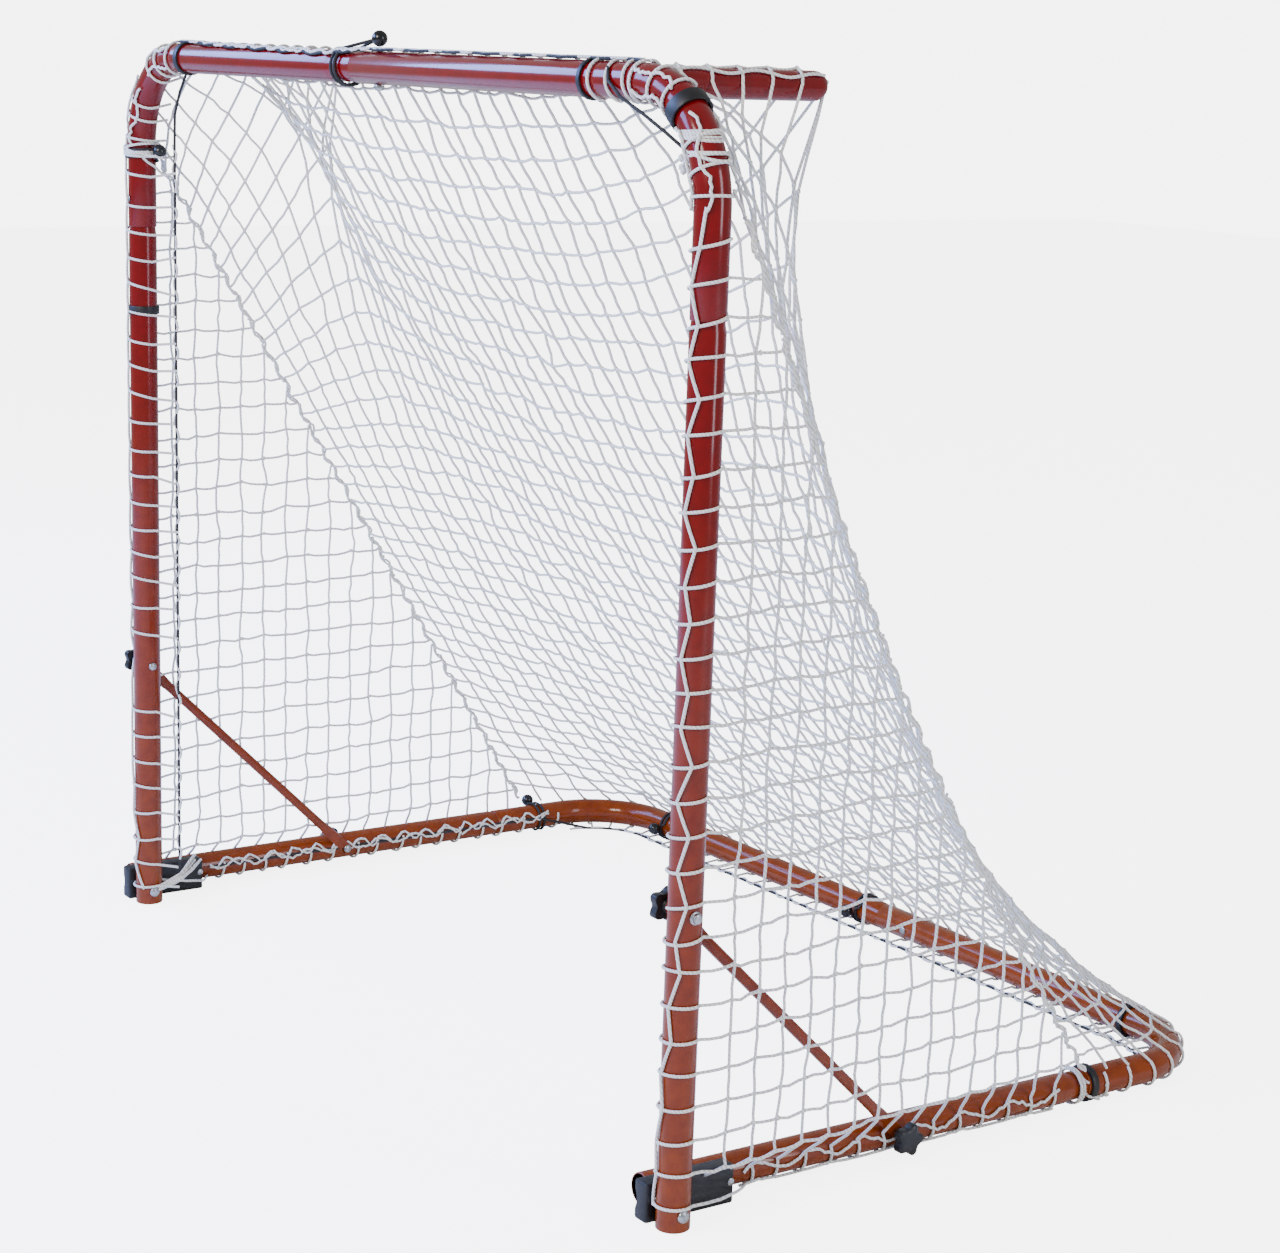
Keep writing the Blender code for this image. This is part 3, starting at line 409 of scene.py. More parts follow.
def turn(centre, out, along, radius, first, last, count):
    """Points on an arc; angle 0 lies along out and 90 along along."""
    angles = np.radians(np.linspace(first, last, count + 1))
    return [centre + radius * (math.cos(a) * np.array(out) + math.sin(a) * np.array(along)) for a in angles]


ARC_STEPS = 28  # steps in each quarter bend


def corner_axis(side, end_x):
    """Axis of a top corner tube from its seam with the post to end_x."""
    centre = at(side * (W - BEND), 0, BAR_Z - BEND)
    arc = turn(centre, (side, 0, 0), UP, BEND, 0, 90, ARC_STEPS)
    return [at(side * W, 0, SEAM_Z)] + arc + [at(end_x, 0, BAR_Z)]


def base_x(side):
    """Where the axis of a base tube lies, from the middle of the mouth."""
    return side * W - BASE_OFF


def rear_axis(side, start_y, end_x):
    """Axis of a rear corner tube from its seam with the side tube to end_x."""
    centre = at(base_x(side) - side * BEND, DEPTH - BEND, BASE_Z)
    arc = turn(centre, (side, 0, 0), (0, 1, 0), BEND, 0, 90, ARC_STEPS)
    return [at(base_x(side), start_y, BASE_Z)] + arc + [at(end_x, DEPTH, BASE_Z)]


NECK = (R - 0.0015) / R  # the share of the radius left where a tube plugs into the next
TAPER = 1 - (1 - NECK) * 0.45
for side, name in ((-1, "left"), (1, "right")):
    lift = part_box(name + "_post")[1].z
    path = [at(side * W, 0, z) for z in (0.0, SEAM_Z - 0.012, SEAM_Z - 0.003, lift - 0.002)]
    path, sizes = rolled(path, [1, 1, NECK, NECK], end=False)
    post = sweep(name + "_post_skin", path, R, sizes)
    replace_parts(dress(post, "red_steel", "front_frame"), name + "_post")

neck_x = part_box("right_corner_tube")[0].x - MID_X
path = corner_axis(-1, -0.110)
path, sizes = rolled(path, [1] * len(path), end=False)
path += [at(-0.105, 0, BAR_Z), at(-0.1005, 0, BAR_Z), at(0.028, 0, BAR_Z)]
sizes += [TAPER, NECK, NECK]
corner = sweep("left_corner_skin", path, R, sizes)
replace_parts(dress(corner, "red_steel", "front_frame"), "left_corner_tube")
path = corner_axis(1, neck_x)
path, sizes = rolled(path, [1] * len(path))
corner = sweep("right_corner_skin", path, R, sizes)
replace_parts(dress(corner, "red_steel", "front_frame"), "right_corner_tube")
print("front frame tubes swept")

# %% [markdown]
# The base is two side tubes and two rear corners. The right side tube stands a little out of its socket, so
# a short reduced neck shows there.

# %% Sweep the base and the arms
for side, name in ((-1, "left"), (1, "right")):
    low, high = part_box(name + "_base_tube")
    rear_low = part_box(name + "_rear_tube")[0].y - Y0
    full = SIDE_SEAM - 0.010
    ys = (low.y - Y0, full, full + 0.005, full + 0.010, high.y - Y0 - 0.002)
    path = [at(base_x(side), y, BASE_Z) for y in ys]
    path, sizes = rolled(path, [1, 1, TAPER, NECK, NECK], end=False)
    tube = sweep(name + "_base_skin", path, R, sizes)
    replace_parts(dress(tube, "red_steel", "base"), name + "_base_tube")
    if side < 0:
        path = rear_axis(side, rear_low, -0.041)
        path, sizes = rolled(path, [1] * len(path), end=False)
        path += [at(-0.036, DEPTH, BASE_Z), at(-0.031, DEPTH, BASE_Z), at(0.070, DEPTH, BASE_Z)]
        sizes += [TAPER, NECK, NECK]
    else:
        path = rear_axis(side, rear_low, -0.030)
        path, sizes = rolled(path, [1] * len(path))
    tube = sweep(name + "_rear_skin", path, R, sizes)
    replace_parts(dress(tube, "red_steel", "base"), name + "_rear_tube")
    low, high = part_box(name + "_shelf_arm")
    x = (low.x + high.x) / 2 - MID_X
    dome = [(high.y - Y0 - ARM_R * (1 - math.sin(math.radians(a))), math.cos(math.radians(a)))
            for a in (0, 15, 30, 45, 60, 72, 82, 88)]
    path = [at(x, R * 0.9, BAR_Z)] + [at(x, y, BAR_Z) for y, _size in dome]
    arm = sweep(name + "_arm_skin", path, ARM_R, [1] + [size for _y, size in dome])
    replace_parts(dress(arm, "red_steel", "front_frame"), name + "_shelf_arm")
print("base tubes and arms swept")

# %% [markdown]
# ## Fittings
#
# Blocks, knobs, bolts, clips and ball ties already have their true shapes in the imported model. Each is
# copied, its split corners are welded, and hard edges on the hard pieces get a narrow bevel so that they
# catch the light.


# %% Soften the fittings
HARD_ANGLE = math.radians(30)


def soften(name, bevel):
    """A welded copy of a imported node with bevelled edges, which stands for the node."""
    source = frame["nodes"][name]
    bm = bmesh.new()
    bm.from_mesh(source.data)
    bm.transform(source.matrix_world)
    bmesh.ops.remove_doubles(bm, verts=bm.verts, dist=1e-6)
    bmesh.ops.dissolve_limit(bm, angle_limit=math.radians(1.0), verts=bm.verts, edges=bm.edges)
    if bevel:
        hard = [e for e in bm.edges if len(e.link_faces) == 2 and e.calc_face_angle(0.0) > HARD_ANGLE]
        bmesh.ops.bevel(bm, geom=hard, offset=bevel, segments=2, affect="EDGES", profile=0.5,
                        material=-1, clamp_overlap=True)
    mesh = bpy.data.meshes.new(name + "_soft")
    bm.to_mesh(mesh)
    bm.free()
    obj = link(name + "_soft", mesh)
    mesh.shade_smooth()
    mesh.set_sharp_from_angle(angle=math.radians(50))
    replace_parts(dress(obj, SLOT[name], BODY[name]), name)


DONE = ("post", "corner_tube", "base_tube", "rear_tube", "shelf_arm", "net_left", "net_right", "net_back",
        "front_lacing_cord", "base_lacing_cord")
small = [name for name in SLOT if not name.endswith(DONE)]
for name in small:
    edge = {"knob": 0.0012, "block": 0.0010, "zinc_steel": 0.0004, "clip": 0.0005}.get(SLOT[name], 0.0)
    if name.endswith("brace"):
        edge = 0.0008
    soften(name, edge)
print(len(small), "fittings softened")

# %% [markdown]
# ## Net sheets as numbers
#
# The netting hangs from its edges, so its shape is found before any twine is drawn. A grid of knots is
# pinned along the frame and the seams, and every other knot moves to the weighted middle of its neighbours
# and sinks a little. That gives the hollow back and the soft shelf behind the crossbar. The side panels
# hang flat, and their knots only need a small scatter.

# %% Settle the back panel's grid
SAG = {-1: 0.000, 1: 0.040}
SEAM_TOP = np.array((0.030, 1.072))
SEAM_LOW = {-1: np.array((0.685, 0.052)), 1: np.array((0.630, 0.050))}


PANEL_REACH = 0.66  # how far back the side panels go


def seam(side, t):
    """A point of the seam between a side panel and the back panel; t runs from the top to the floor."""
    t = min(max(t, 0.0), 1.0)
    spot = SEAM_TOP * (1 - t) + SEAM_LOW[side] * t
    dip = SAG[side] * math.sin(math.pi * t)
    y, z = spot[0] - dip * 0.85, spot[1] - dip * 0.52
    return at(panel_x(side, y), y, z)


def panel_x(side, y):
    """Side panels run from the outside of the post to the outside of the base tube."""
    front = side * W + side * HUG
    rear = base_x(side) + side * HUG
    share = min(max(y / PANEL_REACH, 0.0), 1.0)
    return front + (rear - front) * share


def resample(points, count):
    """Points spread evenly along a broken line, count steps in all."""
    points = np.array(points)
    steps = np.linalg.norm(np.diff(points, axis=0), axis=1)
    run = np.concatenate(([0], np.cumsum(steps)))
    want = np.linspace(0, run[-1], count + 1)
    return np.stack([np.interp(want, run, points[:, k]) for k in range(3)], axis=1)


COLS, ROWS, ARM_COL = 42, 38, 6
corner_left = turn(at(-(W - BEND), DIAG, BAR_Z - BEND), (-1, 0, 0), (0, 0, 1), BEND + DIAG, 0, 90, 12)
corner_right = turn(at(W - BEND, DIAG, BAR_Z - BEND), (1, 0, 0), (0, 0, 1), BEND + DIAG, 90, 0, 12)
top = np.concatenate((
    resample([seam(-1, 0)] + corner_left, ARM_COL),
    resample([corner_left[-1], corner_right[0]], COLS - 2 * ARM_COL)[1:-1],
    resample(corner_right + [seam(1, 0)], ARM_COL)))
low_left = [seam(-1, 1), at(base_x(-1) - DIAG, DEPTH - BEND, BASE_Z + DIAG)]
bend_left = at(base_x(-1) + BEND, DEPTH - BEND, BASE_Z + DIAG)
low_left += turn(bend_left, (-1, 0, 0), (0, 1, 0), BEND + DIAG, 0, 90, 12)
bend_right = at(base_x(1) - BEND, DEPTH - BEND, BASE_Z + DIAG)
low_right = turn(bend_right, (1, 0, 0), (0, 1, 0), BEND + DIAG, 90, 0, 12)
low_right += [at(base_x(1) + DIAG, DEPTH - BEND, BASE_Z + DIAG), seam(1, 1)]
low = resample(low_left + low_right, COLS)
grid = np.zeros((COLS + 1, ROWS + 1, 3))
for i in range(COLS + 1):
    for j in range(ROWS + 1):
        grid[i, j] = top[i] + (low[i] - top[i]) * j / ROWS
held = np.zeros((COLS + 1, ROWS + 1), bool)
held[:, 0] = held[:, -1] = held[0] = held[-1] = True
for j in range(ROWS + 1):
    grid[0, j], grid[-1, j] = seam(-1, j / ROWS), seam(1, j / ROWS)
over = BAR_Z + ARM_R + TWINE
shelf_rows = 6
for col, side in ((ARM_COL, -1), (COLS - ARM_COL, 1)):
    for j in range(1, shelf_rows):
        grid[col, j] = at(side * ARM_X, ARM_TIP * j / shelf_rows, over)
        held[col, j] = True
    grid[col, shelf_rows] = at(side * ARM_X, ARM_TIP + TWINE, BAR_Z + 0.004)
    held[col, shelf_rows] = True
STEPS, DOWNWARD, SINK = 4000, 2.2, 0.00016
for _step in range(STEPS):
    across = np.roll(grid, 1, 0) + np.roll(grid, -1, 0)
    down = np.roll(grid, 1, 1) + np.roll(grid, -1, 1)
    moved = (across + DOWNWARD * down) / (2 + 2 * DOWNWARD)
    moved[:, :, 2] -= SINK
    grid = np.where(held[:, :, None], grid, moved)
print("back panel settled; middle of the shelf sags", round(BAR_Z - grid[COLS // 2, 3, 2], 3))

# %% [markdown]
# ## Drawing twine
#
# A strand between two knots is never quite straight, so each gets two points between its knots that wander
# a millimetre or two and hang a little. All strands of a panel become one mesh, with a small knot at each
# crossing.


# %% Strands and knots
WANDER, DROOP = 0.0007, 0.0016


def strand(points):
    """Add two loose points between each pair of knots."""
    points = np.array(points)
    out = [points[0]]
    for a, b in zip(points, points[1:]):
        gap = np.linalg.norm(b - a)
        for share in (0.33, 0.67):
            spot = a + (b - a) * share + rng.normal(0, WANDER, 3) * min(gap / MESH, 1.0)
            spot[2] -= DROOP * (1 - abs(b[2] - a[2]) / max(gap, 1e-6))
            out.append(spot)
        out.append(b)
    return np.array(out)


def wavy(points, height, wave, toward, phase=0.0):
    """A strand that weaves from side to side along points, as laced twine does."""
    points = np.array(points)
    run = np.concatenate(([0], np.cumsum(np.linalg.norm(np.diff(points, axis=0), axis=1))))
    count = max(int(run[-1] / wave * 6), 4)
    want = np.linspace(0, run[-1], count + 1)
    smooth = np.stack([np.interp(want, run, points[:, k]) for k in range(3)], axis=1)
    swing = np.sin(want / wave * 2 * math.pi + phase) + rng.normal(0, 0.22, len(want))
    return smooth + swing[:, None] * height * np.array(toward)


FLOOR_GAP = 0.0002


def draw(name, strands, radius=TWINE, knots=(), knot_size=0.0030):
    """One mesh of twine from many strands, with its knots."""
    curve = bpy.data.curves.new(name, "CURVE")
    curve.dimensions = "3D"
    curve.bevel_depth = radius
    curve.bevel_resolution = 1
    curve.use_fill_caps = True
    for points in strands:
        spline = curve.splines.new("POLY")
        spline.points.add(len(points) - 1)
        flat = np.ones((len(points), 4))
        flat[:, :3] = points
        flat[:, 2] = np.maximum(flat[:, 2], radius + FLOOR_GAP)
        spline.points.foreach_set("co", flat.ravel())
    carrier = link(name, curve)
    mesh = bpy.data.meshes.new_from_object(carrier.evaluated_get(bpy.context.evaluated_depsgraph_get()))
    bpy.data.objects.remove(carrier)
    bpy.data.curves.remove(curve)
    bm = bmesh.new()
    bm.from_mesh(mesh)
    ball = bmesh.new()
    bmesh.ops.create_icosphere(ball, subdivisions=1, radius=1.0)
    corners = np.array([v.co for v in ball.verts])
    faces = [[v.index for v in f.verts] for f in ball.faces]
    ball.free()
    for place in knots:
        shape = corners * knot_size * rng.uniform(0.75, 1.15, 3)
        made = [bm.verts.new(place + p) for p in shape]
        for face in faces:
            bm.faces.new([made[k] for k in face])
    bm.to_mesh(mesh)
    bm.free()
    obj = link(name, mesh)
    mesh.shade_smooth()
    return obj


# %% [markdown]
# ## The back panel
#
# Its knots come from the settled grid. The inner ones get a scatter of two millimetres, which is what keeps
# the rows from looking ruled.

# %% Draw the back panel
KNOT_WANDER = 0.0018
loose = grid.copy()
inner_knots = loose[1:-1, 1:-1]
loose[1:-1, 1:-1] = inner_knots + rng.normal(0, KNOT_WANDER, inner_knots.shape)
loose[held] = grid[held]


def over_arm(j, col, side):
    """The way a level strand takes from the top of an arm round its outer side."""
    knot = grid[col, j]
    hold = ARM_R + TWINE + 0.0004
    angles = (12, 30, 48, 66, 82)
    return [np.array((knot[0] + side * hold * math.sin(math.radians(a)), knot[1] - 0.00006 * a,
                      BAR_Z + hold * math.cos(math.radians(a)))) for a in angles]


back = [strand(loose[i]) for i in range(1, COLS)]
for j in range(1, ROWS):
    if j >= shelf_rows:
        back.append(strand(loose[:, j]))
        continue
    right_col = COLS - ARM_COL
    back.append(strand(list(loose[:ARM_COL, j]) + over_arm(j, ARM_COL, -1)[::-1]))
    back.append(strand(loose[ARM_COL:right_col + 1, j]))
    back.append(strand(over_arm(j, right_col, 1) + list(loose[right_col + 1:, j])))
for side, col in ((-1, ARM_COL), (1, COLS - ARM_COL)):
    ys = np.linspace(0.02, ARM_TIP - 0.012, 40)
    hold = ARM_R + TWINE + 0.0008
    line = [34 + 26 * y / ARM_TIP + 10 * math.sin(y / MESH * math.pi) for y in ys]
    back.append(np.array([at(side * (ARM_X + hold * math.sin(math.radians(a))), y,
                             BAR_Z + hold * math.cos(math.radians(a))) for y, a in zip(ys, line)]))
back_knots = [loose[i, j] for i in range(1, COLS) for j in range(1, ROWS)]
net_back = draw("net_back_twine", back, knots=back_knots)
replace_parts(dress(net_back, "net"), "net_back")
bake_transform(net_back)
print("back panel:", len(back), "strands,", len(back_knots), "knots")

# %% [markdown]
# ## The side panels
#
# Level strands run from the post to the seam and upright ones from the base tube to the seam. Each level
# strand carries on round its post, across the front and back to the lacing cord, and each upright one
# carries on under its base tube. A seam rope zigzags where the side and the back are laced together.

# %% Draw the side panels
def seam_at_height(side, z):
    """How far back the seam is at a height."""
    table = np.array([seam(side, t) for t in np.linspace(0, 1, 60)])
    return float(np.interp(-z, -table[:, 2], table[:, 1])) - Y0


def seam_at_depth(side, y):
    """How high the seam is at a distance back."""
    table = np.array([seam(side, t) for t in np.linspace(0, 1, 60)])
    return float(np.interp(y, table[:, 1] - Y0, table[:, 2]))


level = np.arange(0.028, 1.04, MESH)
POST_START = math.radians(35)
BASE_START = math.radians(20)
FIRST_Y = 0.016
for side, name in ((-1, "left"), (1, "right")):
    side_strands = []
    side_knots = []
    for z in level:
        reach = seam_at_height(side, z)
        stops = [y for y in np.arange(FIRST_Y + MESH, reach - 0.006, MESH)] + [reach]
        row = [at(side * (W + HUG * math.cos(POST_START)), HUG * math.sin(POST_START), z)]
        if z < BASE_Z + R:
            row.append(at(side * (W - 0.004), 0.085, 0.020))
            row.append(at(base_x(side) + side * DIAG, 0.130, BASE_Z - DIAG))
            side_strands.append(strand(row))
            continue
        row += [at(panel_x(side, y), y, z + rng.normal(0, KNOT_WANDER)) for y in stops]
        side_strands.append(strand(row))
        side_knots += row[1:-1]
    for y in np.arange(FIRST_Y + MESH, SEAM_LOW[side][0] - 0.01, MESH):
        roof = seam_at_depth(side, y)
        heights = [z for z in level if BASE_Z + R + 0.006 < z < roof - 0.006] + [roof]
        column = [at(panel_x(side, y), y + rng.normal(0, KNOT_WANDER), z) for z in heights]
        foot = at(base_x(side) + side * HUG * math.cos(BASE_START), y, BASE_Z + HUG * math.sin(BASE_START))
        side_strands.append(strand([foot] + column))
    rope = [seam(side, t) for t in np.linspace(0, 1, 70)]
    side_strands.append(wavy(rope, 0.0035, MESH, (0.2 * side, 0.8, 0.5)))
    side_strands.append(wavy(rope, 0.0042, MESH, (0.3 * side, -0.8, -0.4), 2.0))
    side_knots += [seam(side, t) for t in np.linspace(0.02, 0.98, 33)]
    panel = draw("net_" + name + "_twine", side_strands, knots=side_knots)
    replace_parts(dress(panel, "net"), "net_" + name)
    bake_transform(panel)
    print(name, "panel:", len(side_strands), "strands,", len(side_knots), "knots")


# %% [markdown]
# ## Laps round the tubes
#
# A lap is a strand that hugs a tube from the panel's edge to the lacing cord behind it. Laps slant a few
# millimetres and bow slightly, and a wavy strand runs along the tube across them. They ride rigidly with
# their tube, apart from the panels.


# %% Laps and strands along a tube
def lap(centre, outward, face, along, first, last, finish, slant):
    """A strand round a tube from angle first to angle last; 0 is outward and -90 is the face."""
    outward, face, along = (np.array(v, float) for v in (outward, face, along))
    angles = np.linspace(first, last, 15)
    bow = rng.normal(0, 0.0020)
    points = []
    for k, a in enumerate(angles):
        share = k / (len(angles) - 1)
        turn_to = math.cos(math.radians(a)) * outward - math.sin(math.radians(a)) * face
        shift = slant * share + bow * math.sin(math.pi * share)
        points.append(centre + HUG * turn_to + along * shift)
    points.append(np.array(finish) + along * slant)
    return np.array(points)


ON_LAPS = 0.0006  # a strand along a tube lies this much further out than the laps


def along_tube(centres, outward, face, angle, height, wave):
    """A wavy strand on a tube's skin at one angle; outward may change from point to point."""
    points = []
    run = 0.0
    for k, (centre, out, fwd) in enumerate(zip(centres, outward, face)):
        if k:
            run += np.linalg.norm(centre - centres[k - 1])
        a = math.radians(angle) + height / R * math.sin(run / wave * 2 * math.pi) + rng.normal(0, 0.05)
        spoke = math.cos(a) * np.array(out) - math.sin(a) * np.array(fwd)
        points.append(centre + (HUG + ON_LAPS) * spoke)
    return np.array(points)


# %% [markdown]
# The laps of each post follow the panel's level strands, with a zigzag strand down the front where the laps
# cross it. None is drawn where a brace bolt's head needs room. Six more laps go round each top bend.

# %% Lap the posts and bends
for side, name in ((-1, "left"), (1, "right")):
    laps = []
    post_x = side * W
    inner = side * (W - LACE)
    bolt_room = 0.030 if side < 0 else 0.012
    crossings = []
    for k, z in enumerate(list(level) + [level[-1] + MESH]):
        lean = -0.004 - 0.013 * min(max((z - 0.25) / 0.8, 0.0), 1.0) + rng.normal(0, 0.0012)
        swing = 13 if k % 2 else -13
        angle = float(np.interp(z, (0.03, 0.36, 0.7, 1.05), (-118, -42, -62, -78))) + swing + rng.normal(0, 4)
        crossings.append((z + lean * (35 - angle) / 225, angle))
        if abs(z - BOLT_Z) < bolt_room:
            continue
        if z < 0.06:
            lean = 0.0
        if abs(z - BOLT_Z) < 0.020:
            stop = math.radians(-100)
            front = at(post_x + side * HUG * math.cos(stop), HUG * math.sin(stop), z)
            laps.append(lap(at(post_x, 0, z), (side, 0, 0), FACE, UP, 35, -96, front, lean))
            continue
        finish = at(inner + rng.normal(0, 0.002), LACE_BACK, z + rng.normal(0, 0.004))
        laps.append(lap(at(post_x, 0, z), (side, 0, 0), FACE, UP, 35, -190, finish, lean))
    crossings.append((BAR_Z - BEND + 0.004, -52.0))
    zigzag = []
    for (z1, a1), (z2, a2) in zip(crossings, crossings[1:]):
        for share in (0.0, 0.25, 0.5, 0.75):
            a = math.radians(a1 + (a2 - a1) * share)
            x, y = side * (W + (HUG + ON_LAPS) * math.cos(a)), (HUG + ON_LAPS) * math.sin(a)
            zigzag.append(at(x, y, z1 + (z2 - z1) * share))
    a = math.radians(crossings[-1][1])
    zigzag.append(at(side * (W + HUG * math.cos(a)), HUG * math.sin(a), crossings[-1][0]))
    laps.append(np.array(zigzag))
    edge = [at(inner, LACE_BACK, z) for z in np.arange(0.07, 1.09, 0.006)]
    laps.append(wavy(edge, 0.0045, MESH, (0.9, 0.3, 0)))
    bend_centre = at(side * (W - BEND), 0, BAR_Z - BEND)
    spots = []
    outs = []
    for a in np.linspace(0, 90, 46):
        out = np.array((side * math.cos(math.radians(a)), 0, math.sin(math.radians(a))))
        spots.append(bend_centre + BEND * out)
        outs.append(out)
    for k in (3, 10, 17, 31, 38, 45):
        out = outs[k]
        run = np.cross(out, (0, 1, 0)) * side
        finish = spots[k] - out * 0.012 + np.array((0, LACE_BACK, 0))
        laps.append(lap(spots[k], out, FACE, run, 45, -195, finish, rng.normal(-0.004, 0.003)))
    for angle, swing in ((-50, 0.004), (-118, 0.004)):
        for part in (slice(0, 23), slice(30, 46)):
            faces = [FACE] * len(spots[part])
            laps.append(along_tube(spots[part], outs[part], faces, angle, swing, MESH * 1.7))
    piece = draw(name + "_post_laps", laps)
    dress(piece, "net", "front_frame")
    print(name, "post:", len(laps), "laps")

# %% [markdown]
# The crossbar stays bare in front. The net's top edge is laced along its crown with a black cord, and to
# the left of the middle tie this edge leans over towards the front. Only the short length between the right
# clip and the bend is lapped.


# %% Weave the crossbar's edge
def crown_point(x, lean, lift):
    """A point on the crossbar's skin, leaning from the top towards the front by an angle in degrees."""
    a = math.radians(lean)
    return at(x, -(HUG + lift) * math.sin(a), BAR_Z + (HUG + lift) * math.cos(a))


def edge_lean(x):
    """How far the net's edge leans to the front at x, in degrees."""
    return float(np.interp(x, (-0.52, -0.42, -0.11, -0.05, 0.0, 0.5), (4, 26, 44, 22, 6, 2)))


crown = []
for x in np.arange(0.462, W - BEND, MESH * 0.8):
    finish = at(x, 0.028, BAR_Z + 0.004)
    crown.append(lap(at(x, 0, BAR_Z), UP, FACE, (1, 0, 0), 45, -175, finish, rng.normal(0.010, 0.003)))
xs = np.linspace(-0.535, 0.545, 200)
for size, wave, phase in ((9, MESH, 0.0), (7, MESH * 1.3, 2.0)):
    leans = [edge_lean(x) + size * math.sin(x / wave * 2 * math.pi + phase) + rng.normal(0, 1.2) for x in xs]
    crown.append(np.array([crown_point(x, lean, 0.0012) for x, lean in zip(xs, leans)]))
for i in range(ARM_COL, COLS - ARM_COL + 1):
    x = grid[i, 0][0] - MID_X
    if abs(x - TIE_X) < 0.012 or abs(x - CLIP_X) < 0.012:
        continue
    last = edge_lean(x)
    slide = 0.014 if x < -0.05 else 0.006
    angles = np.linspace(-45, last, 8)
    crown.append(np.array([crown_point(x + slide * (a + 45) / (last + 45), a, 0.0002) for a in angles]))
piece = draw("crossbar_net_edge", crown)
dress(piece, "net", "front_frame")

# %% [markdown]
# The front lacing cord runs up inside each post. Along the crossbar it lies in the edge of the net, and at
# the right bend it crosses to the inside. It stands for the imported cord, which is plainer.

# %% Lace the front
leans = [edge_lean(x) + 5 + 6 * math.sin(x / MESH * math.pi + 0.9) for x in xs]
cord_path = [crown_point(x, lean, 0.0004) for x, lean in zip(xs, leans)]
inner_post = [at(W - LACE, LACE_BACK, z) for z in np.arange(0.055, 1.09, 0.02)]
corner_run = [at(W - x, y, z) for x, y, z in (
    (0.044, 0.026, 1.110), (0.056, 0.010, 1.132), (0.080, -0.004, 1.152), (0.112, -0.012, 1.170),
    (0.140, -0.019, 1.184), (0.160, -0.0215, 1.200), (0.168, -0.017, 1.213), (0.172, -0.006, 1.221))]
left_run = [at(-W + x, y, z) for x, y, z in (
    (0.040, 0.030, 1.09), (0.050, 0.026, 1.125), (0.070, 0.024, 1.155), (0.095, 0.022, 1.180),
    (0.118, 0.016, 1.212))]
left_post = [at(-W + LACE, LACE_BACK, z) for z in np.arange(0.055, 1.08, 0.02)]
lacing = [np.array(inner_post + corner_run), np.array(cord_path), np.array(left_post + left_run)]
cord = draw("front_lacing", lacing, radius=0.0019)
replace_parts(dress(cord, "elastic_cord", "front_frame"), "front_lacing_cord")
print("crossbar edge woven and laced")

# %% [markdown]
# Under the base tubes the strands go round the outside and come to the lacing inside, where a wavy edge
# follows the cord. On the left side tube they end on its inner face, and the cord lies there too.

# %% Places round the base
base_laps = []
spots, outs, runs = [], [], []
for side in (-1, 1):
    centre = at(base_x(side) - side * BEND, DEPTH - BEND, BASE_Z)
    for y in np.arange(0.04, DEPTH - BEND, 0.004):
        spots.append(at(base_x(side), y, BASE_Z))
        outs.append((side, 0, 0))
        runs.append((0, 1, 0))
    for a in np.radians(np.arange(0, 90, 2.0)):
        spots.append(centre + BEND * np.array((side * math.cos(a), math.sin(a), 0)))
        outs.append((side * math.cos(a), math.sin(a), 0))
        runs.append((-side * math.sin(a), math.cos(a), 0))
for x in np.arange(base_x(-1) + BEND, base_x(1) - BEND, 0.004):
    spots.append(at(x, DEPTH, BASE_Z))
    outs.append((0, 1, 0))
    runs.append((1, 0, 0))
spots, outs, runs = np.array(spots), np.array(outs, float), np.array(runs, float)
skin = spots + (outs + np.array(UP)) * DIAG

# %% [markdown]
# Each lap starts where a strand of the panels meets the base, at the nearest of those places, and the brace
# bolts are left clear.

# %% Lap the base
tops = [(grid[i, -1], 45) for i in range(1, COLS)]
for side in (-1, 1):
    for y in np.arange(FIRST_Y + 3 * MESH, SEAM_LOW[side][0] - 0.01, MESH):
        tops.append((at(base_x(side) + side * DIAG, y, BASE_Z + DIAG), 20))
bolts = [at(side * (W - BASE_OFF), BASE_BOLT_Y, BASE_Z) for side in (-1, 1)]
for top_knot, first in tops:
    k = int(np.argmin(np.linalg.norm(skin - top_knot, axis=1)))
    if min(np.linalg.norm(spots[k] - bolt) for bolt in bolts) < 0.016:
        continue
    down_to_cord = np.array((0, 0, 0.0045 - BASE_Z))
    finish = spots[k] - outs[k] * BASE_LACE + down_to_cord + runs[k] * rng.normal(0, 0.003)
    last = -125
    if outs[k][0] == -1:
        last = -196
        finish = spots[k] + HUG * (0.94 * np.array((1, 0, 0)) + 0.34 * np.array(UP))
    base_laps.append(lap(spots[k], outs[k], DOWN, runs[k], first, last, finish, rng.normal(0.006, 0.003)))
for side in (-1, 1):
    if side > 0:
        line = [at(base_x(side) - side * BASE_LACE, y, 0.0050) for y in np.linspace(0.12, DEPTH - BEND, 60)]
        base_laps.append(wavy(line, 0.0040, MESH, (0.9, 0, 0.20), side))
    ys = np.arange(0.12, 0.60, 0.006)
    centres = [at(base_x(side), y, BASE_Z) for y in ys]
    out = [(side, 0, 0)] * len(ys)
    base_laps.append(along_tube(centres, out, [DOWN] * len(ys), 8, 0.005, MESH * 2))
    base_laps.append(along_tube(centres, out, [DOWN] * len(ys), -52, 0.004, MESH * 2.6))
    bend_centre = at(base_x(side) - side * BEND, DEPTH - BEND, 0.0050)
    inner_bend = turn(bend_centre, (side, 0, 0), (0, 1, 0), BEND - BASE_LACE, 0, 90, 20)
    base_laps.append(wavy(inner_bend, 0.0035, MESH, (0.6, 0.6, 0.2)))
left_end, right_end = base_x(-1) + BEND, base_x(1) - BEND
line = [at(x, DEPTH - BASE_LACE, 0.0050) for x in np.linspace(left_end, right_end, 120)]
